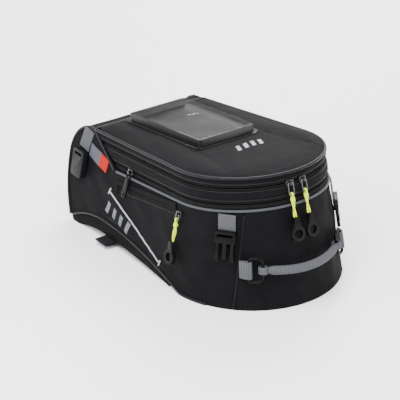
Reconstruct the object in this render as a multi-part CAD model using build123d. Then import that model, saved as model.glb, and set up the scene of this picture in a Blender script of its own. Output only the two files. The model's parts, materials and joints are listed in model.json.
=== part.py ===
from build123d import *
import math
import os

# A soft motorcycle tank bag. All sizes are in millimetres. +Y points to the steering head, -Y to the rider,
# +Z up, and the bag stands on Z = 0. The lid and its bands lie in a plane tilted about X, higher at the rider's end.

# ---- Body outline: a plan shape with a straight front, straight sides and a round rear, given at two heights
BASE_REAR_Y = -192.0          # rearmost point of the base
BASE_RADIUS = 114.0           # rear rounding of the base
BASE_FRONT_HALF = 106.0       # half width of the base outline at OUTLINE_FRONT_Y
TOP_Z = 140.0                 # height at which the upper outline is given
TOP_REAR_Y = -166.5
TOP_RADIUS = 95.5
TOP_FRONT_HALF = 77.0
OUTLINE_FRONT_Y = 215.0       # both outlines run on past the front face, which trims them

# ---- Body side view
FOOT_Y = 164.0                # foot of the front face
NOSE_Y = 190.0                # foremost line of the front face
NOSE_Z = 85.0
NOSE_RADIUS = 45.0            # rounding from the front face over to the top
ARCH_REAR_Y = -85.0           # the side panels' lower edge leaves the ground here
ARCH_CREST_Y = 90.0
ARCH_CREST_Z = 26.0
ARCH_FRONT_Z = 7.0            # height of the side panels' lower edge at the foot
PAD_REAR_Y = -60.0            # the pad's underside leaves the ground here
PAD_CREST_Z = 9.0
PAD_FRONT_Y = 150.0           # and comes back to it here

# ---- Fabric and foam
FABRIC = 1.5
FOAM = 4.0
FLOOR = 6.0
PAD_SKIN = 2.0                # anti-slip sheet under the rear part of the floor
SEWN_GAP = 0.1                # between pieces that are sewn together
FREE_GAP = 0.5                # between pieces that move apart

# ---- Lid plane and the bands that hang from it
LID_TILT = 6.5
LID_Z = 148.5                 # height of the lid's edge plane at Y = 0
LID_REAR_V = -162.0           # rearmost point of the lid's edge, measured in the lid plane
LID_RADIUS = 96.0
LID_FRONT_HALF = 83.5
LID_CORNER = 18.0
HINGE_Y = 141.0               # front edge of the lid, where it folds
BAND_FLARE = 0.075            # the bands widen by this much for each millimetre they go down
SKIRT = 10.0                  # depth of the lid's skirt, down to the main zip
ZIP_TAPE = 3.3                # visible width of each half of a zip
ZIP_SPLIT = 1.4               # gap between the two rows of teeth
EXPANDER_HEM = 3.6            # extra tape under the expander zip, so that its slider clears the piping
COLLAR = 12.0                 # depth of the band between the two zips
BAND_WALL = 2.4
TOOTH_DEPTH = 1.0             # how far the teeth stand out from the tape
EXPANSION = 9.0               # degrees that the collar can rise
PIPING = 3.2
BINDING = 4.0
GUSSET_DEPTH = 26.0
BAND_END_Y = 85.0             # the body's top edge starts to climb to the hinge here

# ---- Lid build-up
LID_FOAM = 5.0
LID_CROWN = 4.0
CROWN_INSET = 16.0
CROWN_FRONT = 10.0
WINDOW_Y = 47.0               # centre of the window pocket
PHONE_ROOM = (146.0, 78.0, 9.0)
WINDOW_WALL = 3.0
WINDOW_BORDER = 6.0
FILM = 0.8

# ---- Zip sliders and pulls
SLIDER_LENGTH = 11.0
SLIDER_WIDTH = 7.8
SLIDER_PLATE = 1.5
SLIDER_CLEAR = 0.5            # between the slider's plates and the teeth
MAIN_SLIDER_ANGLE = 5.6       # degrees either side of the rear centre
MAIN_SLIDER_TRAVEL = 30.0
BAIL_WIRE = 1.6
BAIL_LENGTH = 15.0
BAIL_WIDTH = 7.0
CORD = 2.4
CORD_LENGTH = 27.0
GRIP_BODY = 13.0
GRIP_RING = 19.0
GRIP_HOLE = 10.5
GRIP_THICKNESS = 4.6
PULL_LEAN = 10.0              # degrees that a hanging pull leans out from the lid's normal
POCKET_FRONT = (63.0, 79.0)   # Y and Z of the side pocket zip's front end
POCKET_REAR = (-70.0, 100.0)
POCKET_TRAVEL = 100.0
POCKET_BAIL = 8.0
POCKET_LEAN = 5.0
ZIP_HEIGHT = 1.2              # a closed flat zip's height over the panel
ZIP_WIDTH = 7.0
WELT_WIDTH = 7.0
WELT_THICKNESS = 2.4
SURFACE_GAP = 0.4             # flat pieces sewn on the slightly twisted side panels
EXPANDER_SLIDER_V = 52.0
EXPANDER_TRAVEL = 100.0
EXPANDER_PULL = 34.0
EXPANDER_LEAN = 21.0

# ---- Webbing and hardware
WEBBING = 25.0
WEBBING_THICKNESS = 1.8
RING_WIRE = 3.6
RING_DEPTH = 20.0
HANDLE_ANGLE = 33.5           # degrees from the rear centre to each D-ring
HANDLE_WEBBING = 22.0
HANDLE_TAIL = 10.0            # webbing from the D-ring to the seam
RING_CORNER = 3.5
RING_ROUND = 7.5                # rounding of the ring's far corners, towards the handle
HANDLE_Z = 53.0
HANDLE_THICKNESS = 10.5
HANDLE_STANDOFF = 14.0        # handle's centre line from the rear panel, at the rear centre
RING_STANDOFF = 8.0
BUCKLE_ANGLE = 52.0
BUCKLE_TOP_Z = 118.0
BUCKLE_WIDTH = 26.0
BUCKLE_FRAME = 15.0
BUCKLE_THICKNESS = 6.0
PRONG_LENGTH = 24.0
TAB_LENGTH = 20.0
FRONT_BUCKLE_Y = 158.0
FRONT_BUCKLE_Z = 98.0
FRONT_BUCKLE = (24.0, 36.0, 8.0)
STRAP_LOOP_Y = 77.0
STRAP_LOOP_OUT = 12.0         # how far the tank strap's loop stands out from under the pad

# ---- Trim on the side panels, as Y and Z in the side view
LABEL_CENTRE = (121.8, 99.5)
LABEL_SIZE = (44.0, 18.0)
LABEL_TURN = 10.7
STRIPE_FRONT = (87.0, 69.0)
STRIPE_REAR = (-36.0, 21.5)
STRIPE_WIDTH = 2.2
BARS_CENTRE = (64.0, 42.0)
PRINT = 0.4                   # thickness of a printed or glued-on strip

# ---- Derived sizes
TILT = math.radians(LID_TILT)
WALL = FABRIC + SEWN_GAP + FOAM
MAIN_ZIP_W = -(SKIRT + ZIP_TAPE + ZIP_SPLIT / 2)
EXPANDER_ZIP_W = MAIN_ZIP_W - ZIP_SPLIT - 2 * ZIP_TAPE - COLLAR
BODY_TOP_W = EXPANDER_ZIP_W - ZIP_SPLIT / 2 - ZIP_TAPE - EXPANDER_HEM
LID_CENTRE_V = LID_REAR_V + LID_RADIUS
BASE_CENTRE_Y = BASE_REAR_Y + BASE_RADIUS
TOP_CENTRE_Y = TOP_REAR_Y + TOP_RADIUS
ROOM_LENGTH, ROOM_WIDTH, ROOM_DEPTH = PHONE_ROOM
WIDE = 150.0                  # half width of the solids that trim the body


def lid_point(v, w):
    """Y and Z of the point v along the lid plane and w above it."""
    return v * math.cos(TILT) + w * math.sin(TILT), LID_Z - v * math.sin(TILT) + w * math.cos(TILT)


def level_z(y, w):
    """Height of the plane w above the lid plane, at y."""
    return LID_Z + (w - y * math.sin(TILT)) / math.cos(TILT)


HINGE_Z = level_z(HINGE_Y, 0)
HINGE_V = (HINGE_Y - FREE_GAP) / math.cos(TILT)
LID_FRAME = Plane(origin=(0, 0, LID_Z), x_dir=(1, 0, 0), z_dir=(0, math.sin(TILT), math.cos(TILT)))


def lid_plane(w):
    return LID_FRAME.offset(w)


def side_line(front_half, front, radius, centre):
    """Where the straight side meets the rear arc, and how much the half width changes for each step forward."""
    reach = math.hypot(front_half, front - centre)
    turn = math.atan2(front - centre, front_half) - math.acos(radius / reach)
    side_x = radius * math.cos(turn)
    side_y = centre + radius * math.sin(turn)
    return side_x, side_y, (front_half - side_x) / (front - side_y)


def outline(front_half, front, radius, centre, corner=0.0, run_on=0.0):
    """Plan face with a straight front, straight sides and a round rear that the sides meet tangentially."""
    side_x, side_y, slope = side_line(front_half, front, radius, centre)
    end_y = front + run_on
    end_x = front_half + slope * run_on
    edges = [
        Line((-end_x, end_y), (end_x, end_y)),
        Line((end_x, end_y), (side_x, side_y)),
        ThreePointArc((side_x, side_y), (0, centre - radius), (-side_x, side_y)),
        Line((-side_x, side_y), (-end_x, end_y)),
    ]
    face = make_face(edges)
    if corner:
        face = fillet(face.vertices().group_by(Axis.Y)[-1], corner)
    return face


def body_block(inset):
    """The whole body outline, brought in by inset, from the ground to TOP_Z and open at the front."""
    base = outline(BASE_FRONT_HALF - inset, OUTLINE_FRONT_Y, BASE_RADIUS - inset, BASE_CENTRE_Y)
    top = outline(TOP_FRONT_HALF - inset, OUTLINE_FRONT_Y, TOP_RADIUS - inset, TOP_CENTRE_Y)
    return loft([base, Pos(0, 0, TOP_Z) * top], ruled=True)


def band_block(low, high, inset, run_on=0.0):
    """The lid outline, brought in by inset, from one level of the lid frame up to another."""
    faces = []
    for w in (low, high):
        grow = -w * BAND_FLARE - inset
        face = outline(LID_FRONT_HALF + grow, HINGE_V, LID_RADIUS + grow, LID_CENTRE_V, run_on=run_on)
        faces.append(lid_plane(w) * face)
    return loft(faces, ruled=True)


def band_ring(low, high, outer_inset, inner_inset):
    """A U-shaped band that follows the lid outline, open at the front."""
    core = band_block(low - 1, high + 1, inner_inset, run_on=30)
    return band_block(low, high, outer_inset) - core


def slab_from_profile(points_face):
    """A side view face, drawn in Y and Z, as a solid across the whole width."""
    return extrude(Plane.YZ * points_face, amount=WIDE, both=True)


def arch_edges(rear_y, rear_z, crest_y, crest_z, front_y, front_z):
    """Two arcs that meet level at the crest."""
    edges = []
    for end_y, end_z in ((rear_y, rear_z), (front_y, front_z)):
        run = end_y - crest_y
        drop = crest_z - end_z
        radius = (run * run + drop * drop) / (2 * drop)
        half = math.asin(abs(run) / radius) / 2
        middle = (crest_y + math.copysign(radius * math.sin(half), run), crest_z - radius * (1 - math.cos(half)))
        edges.append(ThreePointArc((end_y, end_z), middle, (crest_y, crest_z)))
    return edges


def front_edges(inset):
    """The front face and its rounding on to the top, from the foot up, brought in by inset."""
    rise = NOSE_Z
    lean_radius = ((NOSE_Y - FOOT_Y) ** 2 + rise ** 2) / (2 * (NOSE_Y - FOOT_Y))
    centre_y = NOSE_Y - lean_radius
    lean = lean_radius - inset
    turn = math.asin(rise / lean)
    foot = (centre_y + lean * math.cos(turn), 0)
    middle = (centre_y + lean * math.cos(turn / 2), NOSE_Z - lean * math.sin(turn / 2))
    nose = (NOSE_Y - inset, NOSE_Z)
    round_y = NOSE_Y - NOSE_RADIUS
    small = NOSE_RADIUS - inset
    slope = math.radians(45)
    top = (round_y, NOSE_Z + small)
    shoulder = (round_y + small * math.cos(slope), NOSE_Z + small * math.sin(slope))
    return foot, top, [ThreePointArc(foot, middle, nose), ThreePointArc(nose, shoulder, top)]


def body_profile(inset=0.0, bottom=-20.0, end_y=HINGE_Y):
    """Side view of the body: top edge along the expander zip, climb to the hinge, nose and foot."""
    foot, top, front = front_edges(inset)
    far = BASE_REAR_Y - 40
    hinge = (end_y, top[1])
    climb = (BAND_END_Y, level_z(BAND_END_Y, BODY_TOP_W))
    rear = (far, level_z(far, BODY_TOP_W))
    rest = Polyline(top, hinge, climb, rear, (far, bottom), (foot[0], bottom), foot)
    return make_face([*front, *rest.edges()])


def under_arch(lift=0.0):
    """Everything under the side panels' lower edge."""
    far = BASE_REAR_Y - 40
    front = FOOT_Y + 60
    arcs = arch_edges(ARCH_REAR_Y, lift, ARCH_CREST_Y, ARCH_CREST_Z + lift, FOOT_Y, ARCH_FRONT_Z + lift)
    rest = Polyline((FOOT_Y, ARCH_FRONT_Z + lift), (front, ARCH_FRONT_Z + lift), (front, -30), (far, -30),
                    (far, lift), (ARCH_REAR_Y, lift))
    return slab_from_profile(make_face([*arcs, *rest.edges()]))


def above_body(gap=FREE_GAP):
    """Everything over the body's top edge and behind the hinge, where the collar and the lid may be."""
    climb = (BAND_END_Y, level_z(BAND_END_Y, BODY_TOP_W) + gap)
    far = BASE_REAR_Y - 40
    end = HINGE_Y - FREE_GAP
    top = NOSE_Z + NOSE_RADIUS + gap
    return slab_from_profile(make_face(Polyline(
        (far, level_z(far, BODY_TOP_W) + gap), climb, (end, top), (end, 250), (far, 250), close=True)))


def side_half(y, z, inset=0.0):
    """Half width of the body at y and z, on its straight sides."""
    widths = []
    for front_half, radius, centre in ((BASE_FRONT_HALF, BASE_RADIUS, BASE_CENTRE_Y),
                                       (TOP_FRONT_HALF, TOP_RADIUS, TOP_CENTRE_Y)):
        slope = side_line(front_half, OUTLINE_FRONT_Y, radius, centre)[2]
        widths.append(front_half + slope * (y - OUTLINE_FRONT_Y))
    return widths[0] + (widths[1] - widths[0]) * z / TOP_Z - inset


def rear_point(angle, z, standoff=0.0):
    """A point on the round rear of the body, angle in degrees from the rear centre towards -X."""
    share = z / TOP_Z
    radius = BASE_RADIUS + (TOP_RADIUS - BASE_RADIUS) * share + standoff
    centre = BASE_CENTRE_Y + (TOP_CENTRE_Y - BASE_CENTRE_Y) * share
    turn = math.radians(angle)
    return Vector(-radius * math.sin(turn), centre - radius * math.cos(turn), z)


def surface_plane(point, tangent, upward):
    """A plane lying on the surface: X along the tangent, Y up the surface, Z outwards."""
    outward = Vector(*tangent).cross(Vector(*upward))
    return Plane(origin=tuple(point), x_dir=tuple(tangent), z_dir=tuple(outward))


def rear_plane(angle, z, standoff=0.0):
    """Surface plane on the round rear of the body."""
    here = rear_point(angle, z)
    up = (rear_point(angle, z + 10) - here).normalized()
    turn = math.radians(angle)
    tangent = Vector(math.cos(turn), -math.sin(turn), 0)
    plane = surface_plane(here, tangent, up)
    return plane.offset(standoff)


def side_plane(side, y, z, standoff=0.0):
    """Surface plane on a straight side, side being -1 for left (-X) and 1 for right."""
    here = Vector(side * side_half(y, z), y, z)
    up = (Vector(side * side_half(y, z + 10), y, z + 10) - here).normalized()
    along = (Vector(side * side_half(y + 10, z), y + 10, z) - here).normalized()
    return surface_plane(here, along * side, up).offset(standoff)


def ahead_of(y):
    """A block that holds everything in front of y."""
    return Pos(0, y + WIDE, 0) * Box(2 * WIDE, 2 * WIDE, 4 * WIDE)


def behind(y):
    """A block that holds everything behind y."""
    return Pos(0, y - 2 * WIDE, 0) * Box(2 * WIDE, 4 * WIDE, 4 * WIDE)


def mirrored(shape):
    return mirror(shape, about=Plane.YZ)


def bar(length, width, thickness, radius=0.0):
    """A flat bar lying on the XY plane, centred in X and Y."""
    face = RectangleRounded(length, width, radius) if radius else Rectangle(length, width)
    return extrude(face, amount=thickness)


# ---- Lower body ----------------------------------------------------------------------------------------------

def wall_ring(outer_inset, inner_inset):
    """The left, rear and right walls as one U, between two insets."""
    profile = slab_from_profile(body_profile(0))
    ring = (body_block(outer_inset) & profile) - body_block(inner_inset)
    return ring - under_arch()


def seam_plane(side):
    """Plane through the seam between a side panel and the rear panel."""
    low = rear_point(-side * 48, 0)
    high = rear_point(-side * 39, TOP_Z)
    inner = Vector(0, BASE_CENTRE_Y + 20, TOP_Z / 2)
    normal = (high - low).cross(inner - low).normalized()
    if normal.Y < 0:
        normal = normal * -1
    return Plane(origin=tuple(low), z_dir=tuple(normal))


def split_walls(ring):
    """Left, rear and right part of a wall ring."""
    left, right = seam_plane(-1), seam_plane(1)
    left_half = split(ring, bisect_by=Plane.YZ, keep=Keep.BOTTOM)
    side = split(left_half, bisect_by=left.offset(SEWN_GAP), keep=Keep.TOP)
    rear = split(split(ring, bisect_by=left, keep=Keep.BOTTOM), bisect_by=right, keep=Keep.BOTTOM)
    return side, rear, mirrored(side)


def front_layer(outer_inset, inner_inset, side_inset):
    """One layer of the front panel: foot, face and the rounding over the top, between the side walls."""
    outer = slab_from_profile(body_profile(outer_inset))
    inner = slab_from_profile(body_profile(inner_inset, bottom=-30, end_y=HINGE_Y - 30))
    layer = (body_block(side_inset) & outer) - inner - under_arch()
    return layer & ahead_of(HINGE_Y)


def lower_body():
    nodes = {}
    skin_left, skin_rear, skin_right = split_walls(wall_ring(0, FABRIC))
    foam_left, foam_rear, foam_right = split_walls(wall_ring(FABRIC + SEWN_GAP, WALL))
    nodes["side_panel_left"], nodes["side_panel_right"], nodes["rear_panel"] = skin_left, skin_right, skin_rear
    nodes["side_foam_left"], nodes["side_foam_right"], nodes["rear_foam"] = foam_left, foam_right, foam_rear
    between_sides = WALL + SEWN_GAP
    nodes["front_panel"] = front_layer(0, FABRIC, between_sides)
    nodes["front_foam"] = front_layer(FABRIC + SEWN_GAP, WALL, between_sides)
    nodes["base_floor"] = base_floor(between_sides)
    nodes["base_pad"] = base_pad(between_sides)
    return nodes


def base_floor(inset):
    """Stiffened floor that follows the arch, inside the walls."""
    room = body_block(inset) & slab_from_profile(body_profile(WALL + SEWN_GAP, bottom=-30))
    return (room & under_arch(PAD_SKIN + SEWN_GAP + FLOOR)) - under_arch(PAD_SKIN + SEWN_GAP)


def base_pad(inset):
    """Anti-slip pad: fills the arch under the side panels, and a sheet inside the walls at the rear."""
    far = BASE_REAR_Y - 40
    arcs = arch_edges(PAD_REAR_Y, 0, ARCH_CREST_Y, PAD_CREST_Z, PAD_FRONT_Y, 0)
    rest = Polyline((PAD_FRONT_Y, 0), (FOOT_Y + 60, 0), (FOOT_Y + 60, -40), (far, -40), (far, 0), (PAD_REAR_Y, 0))
    ground = slab_from_profile(make_face([*arcs, *rest.edges()]))
    side_view = slab_from_profile(body_profile(0, bottom=-30))
    under = body_block(FABRIC) & side_view & under_arch(-SEWN_GAP)
    sheet = body_block(inset) & side_view & under_arch(PAD_SKIN)
    return ((under & ahead_of(PAD_REAR_Y)) + (sheet & behind(PAD_REAR_Y + FLOOR))) - ground


def piping_nodes():
    """Beads along the body's top edge, the side panels' front edges and their arched lower edges."""
    half = PIPING / 2
    edge_block = body_block(-half) - body_block(-SEWN_GAP / 2)
    far = BASE_REAR_Y - 40
    edge_line = Polyline((far, level_z(far, BODY_TOP_W + half)), (BAND_END_Y, level_z(BAND_END_Y, BODY_TOP_W + half)),
                         (BAND_END_Y, level_z(BAND_END_Y, BODY_TOP_W - half)),
                         (far, level_z(far, BODY_TOP_W - half)), close=True)
    top = edge_block & slab_from_profile(make_face(edge_line))
    outer = slab_from_profile(body_profile(-half))
    inner = slab_from_profile(body_profile(half, bottom=-30))
    front = (edge_block & (outer - inner) & ahead_of(BAND_END_Y + SEWN_GAP)) - under_arch(PIPING + SEWN_GAP)
    front = front - above_body(SEWN_GAP)
    lower = edge_block & slab_from_profile(body_profile(0, bottom=-30)) & under_arch(PIPING)
    lower = (lower & ahead_of(ARCH_REAR_Y)) - under_arch()
    return {"top_piping": top, "front_edge_piping": front, "lower_piping": lower}


# ---- Zips, collar and lid --------------------------------------------------------------------------------------

def zip_half(centre_w, side, trim, hem=0.0):
    """One half of a zip: its tape and its row of teeth. side is 1 above the split and -1 below."""
    split_w = centre_w + side * ZIP_SPLIT / 2
    tape_w = split_w + side * (ZIP_TAPE + hem)
    teeth_w = split_w + side * TOOTH_DEPTH
    tape = band_ring(min(split_w, tape_w), max(split_w, tape_w), 0.6, 0.6 + FABRIC)
    teeth = band_ring(min(split_w, teeth_w), max(split_w, teeth_w), 0.6 - TOOTH_DEPTH, 0.6 + FABRIC)
    return (tape + teeth) & trim


def collar_nodes(trim):
    low = EXPANDER_ZIP_W + ZIP_SPLIT / 2 + ZIP_TAPE + SEWN_GAP
    band = band_ring(low, low + COLLAR - 2 * SEWN_GAP, 0, BAND_WALL) & trim
    end = behind(BAND_END_Y)
    inset = WALL + 2 * FABRIC
    gusset = band_ring(BODY_TOP_W - GUSSET_DEPTH / 2, BODY_TOP_W + GUSSET_DEPTH / 2, inset, inset + FABRIC) & end
    return {
        "collar_band": band,
        "main_zip_lower": zip_half(MAIN_ZIP_W, -1, trim),
        "expander_zip_upper": zip_half(EXPANDER_ZIP_W, 1, trim & end),
        "expander_zip_lower": zip_half(EXPANDER_ZIP_W, -1, end, EXPANDER_HEM - SEWN_GAP),
        "expander_gusset": gusset,
    }


def lid_nodes(trim):
    nodes = {}
    skirt_inner = BAND_WALL
    nodes["lid_skirt"] = band_ring(-SKIRT + SEWN_GAP, -SEWN_GAP, 0, skirt_inner) & trim
    inset = skirt_inner + SEWN_GAP
    nodes["lid_foam"] = band_block(-LID_FOAM, -SEWN_GAP, inset) & trim
    edge = lid_plane(0) * outline(LID_FRONT_HALF, HINGE_V, LID_RADIUS, LID_CENTRE_V, LID_CORNER)
    crown = lid_plane(LID_CROWN) * outline(LID_FRONT_HALF - CROWN_INSET, HINGE_V - CROWN_FRONT,
                                           LID_RADIUS - CROWN_INSET, LID_CENTRE_V, LID_CORNER)
    nodes["lid_cover"] = loft([edge, crown], ruled=True)
    bead = band_ring(-BINDING, 0, -BINDING / 2, -SEWN_GAP / 2 - BINDING * BAND_FLARE)
    nodes["lid_binding"] = bead & trim
    nodes["main_zip_upper"] = zip_half(MAIN_ZIP_W, 1, trim)
    return nodes


def window_nodes():
    """Clear pocket on the lid, closed on three sides and open on the right."""
    floor_w = LID_CROWN + SEWN_GAP
    centre_v = WINDOW_Y / math.cos(TILT)
    frame_length = ROOM_LENGTH + 2 * WINDOW_WALL
    frame_width = ROOM_WIDTH + 2 * WINDOW_WALL
    place = lid_plane(floor_w) * Pos(0, centre_v, 0)
    border = bar(frame_width + 2 * WINDOW_BORDER, frame_length + 2 * WINDOW_BORDER, 1.0, 10)
    walls = Pos(0, 0, 1) * bar(frame_width, frame_length, ROOM_DEPTH, WINDOW_WALL)
    room = Pos(WINDOW_WALL, 0, 1) * bar(ROOM_WIDTH + 2 * WINDOW_WALL, ROOM_LENGTH, ROOM_DEPTH)
    film = Pos(0, 0, 1 + ROOM_DEPTH + SEWN_GAP / 2) * bar(frame_width, frame_length, FILM, WINDOW_WALL)
    return {"window_frame": place * (border + walls - room), "window_film": place * film}


def slanted_bars(count, length, width, pitch):
    """A plain row of slanted flat bars, in place of any mark."""
    bars = []
    for index in range(count):
        slide = (index - (count - 1) / 2) * pitch
        bars.append(Pos(slide, 0, 0) * Rot(0, 0, -25) * bar(width, length, 0.4))
    return bars


def lid_bars():
    place = lid_plane(LID_CROWN + SEWN_GAP) * Pos(6, -66, 0)
    return Compound(children=[place * piece for piece in slanted_bars(4, 16, 5.5, 11)])


# ---- Sliders and pulls, drawn flat: X along the zip, Y up the surface, Z outwards ----------------------------------

def slider_body(post_length, inner_plate=True):
    """Outer plate, bridge for the pull, and for an open zip a post through the split and an inner plate."""
    plate_z = TOOTH_DEPTH + SLIDER_CLEAR
    plate = Pos(0, 0, plate_z) * bar(SLIDER_LENGTH, SLIDER_WIDTH, SLIDER_PLATE, 2.5)
    bridge_z = plate_z + SLIDER_PLATE
    height = BAIL_WIRE + 0.6
    legs = [Pos(0, side * (height / 2 + 0.6), bridge_z) * bar(3.0, 1.2, height) for side in (-1, 1)]
    roof = Pos(0, 0, bridge_z + height) * bar(3.0, height + 2.4, 1.2)
    body = plate + legs[0] + legs[1] + roof
    if inner_plate:
        post_z = -FABRIC - SLIDER_CLEAR - SLIDER_PLATE
        post = Pos(0, 0, post_z) * bar(post_length, ZIP_SPLIT - 0.6, plate_z - post_z + 0.1)
        inner = Pos(0, 0, post_z) * bar(SLIDER_LENGTH, SLIDER_WIDTH, SLIDER_PLATE, 2.5)
        body = body + post + inner
    return body


PIVOT_OUT = TOOTH_DEPTH + SLIDER_CLEAR + SLIDER_PLATE + 0.3 + BAIL_WIRE / 2


def wire_loop(length, width):
    """A closed wire bail, hanging from Y = 0 down to -length."""
    return Pos(0, -length / 2, 0) * wire_frame(width, length, BAIL_WIRE, width / 3, width / 3)


def wire_frame(width, length, wire, corner, far_corner):
    """A closed loop of round wire, centred on its own middle, its centre line width by length."""
    outline = fillet(Rectangle(width, length).vertices().group_by(Axis.X)[0], corner)
    outline = fillet(outline.vertices().group_by(Axis.X)[-1], far_corner)
    path = outline.face().outer_wire()
    start = Plane(origin=(0, length / 2, 0), x_dir=(0, 0, 1), z_dir=(1, 0, 0))
    return sweep(start * Circle(wire / 2), path=path)


def pull_cord(length):
    """A cord folded over the bail at Y = 0, both strands hanging to -length."""
    bend = BAIL_WIRE / 2 + 0.3 + CORD / 2
    over = CenterArc((0, 0), bend, 0, 180)
    path = Plane(origin=(0, 0, 0), x_dir=(0, 0, 1), z_dir=(1, 0, 0)) * over
    loop = sweep(Plane(origin=(0, 0, bend), z_dir=(0, 1, 0)) * Circle(CORD / 2), path=path)
    strands = []
    for side in (-1, 1):
        place = Plane(origin=(0, -length, side * bend), z_dir=(0, 1, 0))
        strands.append(extrude(place * Circle(CORD / 2), amount=length))
    return loop + strands[0] + strands[1]


def grip(top_y):
    """A rubber grip: a tapered body that holds the cord and a finger ring below it."""
    bend = BAIL_WIRE / 2 + 0.3 + CORD / 2
    depth = 2 * bend + CORD + 1.2
    ring_y = top_y - GRIP_BODY - GRIP_RING / 2 + 2.0
    wide = Plane(origin=(0, top_y - GRIP_BODY, 0), x_dir=(1, 0, 0), z_dir=(0, 1, 0)) * Rectangle(10.0, GRIP_THICKNESS)
    neck = Plane(origin=(0, top_y, 0), x_dir=(1, 0, 0), z_dir=(0, 1, 0)) * Rectangle(6.0, depth)
    ring = Pos(0, ring_y, -GRIP_THICKNESS / 2) * extrude(Circle(GRIP_RING / 2), amount=GRIP_THICKNESS)
    hole = Pos(0, ring_y, -GRIP_THICKNESS) * extrude(Circle(GRIP_HOLE / 2), amount=2 * GRIP_THICKNESS)
    return loft([wide, neck], ruled=True) + ring - hole


def pull_nodes(prefix, side_name, surface, lean, bail_length):
    """Bail, cord and grip of one slider. Their pivots run along the surface plane's X."""
    frame = surface.location * Pos(0, 0, PIVOT_OUT) * Rot(-lean, 0, 0)
    nodes = {}
    cord_y = 0.0
    if bail_length:
        nodes[f"{prefix}_bail_{side_name}"] = frame * wire_loop(bail_length, BAIL_WIDTH)
        cord_y = -bail_length
    cord_frame = frame * Pos(0, cord_y, 0)
    nodes[f"{prefix}_cord_{side_name}"] = cord_frame * pull_cord(CORD_LENGTH)
    nodes[f"{prefix}_grip_{side_name}"] = cord_frame * grip(-CORD_LENGTH)
    return nodes


def main_slider_plane(side):
    """Surface plane of a main zip slider on the rear arc of the lid frame, side -1 left and 1 right."""
    turn = math.radians(side * MAIN_SLIDER_ANGLE)
    radius = LID_RADIUS - MAIN_ZIP_W * BAND_FLARE - 0.6
    here = Pos(radius * math.sin(turn), LID_CENTRE_V - radius * math.cos(turn), 0)
    return Plane(lid_plane(MAIN_ZIP_W).location * here * Rot(0, 0, math.degrees(turn)) * Rot(90, 0, 0))


def main_zip_hardware():
    """Two sliders that meet at the rear centre, each with a wire bail, a cord and a grip."""
    surface = main_slider_plane(-1)
    left = {"main_slider_left": surface * slider_body(SLIDER_LENGTH * 0.5)}
    left.update(pull_nodes("main", "left", surface, PULL_LEAN, BAIL_LENGTH))
    return with_right(left)


def with_right(left):
    """The given left pieces and their mirror images."""
    nodes = dict(left)
    for name, shape in left.items():
        nodes[name.replace("_left", "_right")] = mirrored(shape)
    return nodes


def pocket_plane():
    """Plane along the left pocket zip: X along it to the rear, Y up the panel, origin at its rear end."""
    ends = []
    for y, z in (POCKET_FRONT, POCKET_REAR):
        ends.append(Vector(-side_half(y, z), y, z))
    y, z = POCKET_REAR
    along = (ends[1] - ends[0]).normalized()
    up = (Vector(-side_half(y, z + 10), y, z + 10) - ends[1]).normalized()
    outward = along.cross(up)
    return Plane(origin=tuple(ends[1]), x_dir=tuple(along), z_dir=tuple(outward)).offset(SURFACE_GAP)


def pocket_hardware():
    """Zip, flap, slider and pull of the left pocket, and the same on the right."""
    plane = pocket_plane()
    length = math.dist(POCKET_FRONT, POCKET_REAR)
    middle = Pos(SLIDER_LENGTH - length / 2, 0, 0)
    zip_bar = plane * middle * bar(length, ZIP_WIDTH, ZIP_HEIGHT, 3)
    flap_y = SLIDER_WIDTH / 2 + FREE_GAP + WELT_WIDTH / 2
    flap = plane * middle * Pos(0, flap_y, 0) * bar(length, WELT_WIDTH, WELT_THICKNESS, 3)
    surface = plane.offset(ZIP_HEIGHT - TOOTH_DEPTH)
    left = {"pocket_slider_left": surface * slider_body(0, inner_plate=False)}
    upright = Plane(surface.location * Rot(0, 0, pocket_slope()))
    left.update(pull_nodes("pocket", "left", upright, POCKET_LEAN, POCKET_BAIL))
    nodes = with_right(left)
    nodes["pocket_zips"] = Compound(children=[zip_bar, mirrored(zip_bar)])
    nodes["pocket_flaps"] = Compound(children=[flap, mirrored(flap)])
    return nodes


def pocket_slope():
    """Degrees by which the pocket zip climbs towards the rear."""
    return -math.degrees(math.atan2(POCKET_REAR[1] - POCKET_FRONT[1], POCKET_FRONT[0] - POCKET_REAR[0]))


def expander_plane():
    """Surface plane of the expander slider on the left side of the lid frame."""
    grow = -EXPANDER_ZIP_W * BAND_FLARE - 0.6
    slope = side_line(LID_FRONT_HALF + grow, HINGE_V, LID_RADIUS + grow, LID_CENTRE_V)[2]
    half = LID_FRONT_HALF + grow + slope * (EXPANDER_SLIDER_V - HINGE_V)
    turn = -90 + math.degrees(math.atan(slope))
    place = Pos(-half, EXPANDER_SLIDER_V, 0) * Rot(0, 0, turn) * Rot(90, 0, 0)
    return Plane(lid_plane(EXPANDER_ZIP_W).location * place)


def expander_hardware():
    """Slider of the expander zip with its flat pull."""
    surface = expander_plane()
    eye = 8.0
    frame = surface.location * Pos(0, 0, PIVOT_OUT) * Rot(-EXPANDER_LEAN, 0, 0)
    blade_length = EXPANDER_PULL - eye
    blade = Pos(0, -eye - blade_length / 2 + 0.6, -1.0) * bar(8.0, blade_length, 2.0, 3)
    hole = Pos(0, -EXPANDER_PULL + 5, -3) * extrude(Circle(1.9), amount=6)
    return {
        "expander_slider": surface * slider_body(SLIDER_LENGTH * 0.5),
        "expander_pull": frame * (wire_loop(eye, BAIL_WIDTH) + blade - hole),
    }


# ---- Webbing, rings, handle and buckles ----------------------------------------------------------------------------

RING_HEIGHT = HANDLE_WEBBING + 2 * RING_CORNER + 2 * SURFACE_GAP
RING_WIDTH = RING_DEPTH - RING_WIRE


def ring_plane():
    return rear_plane(HANDLE_ANGLE, HANDLE_Z, RING_STANDOFF)


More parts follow.
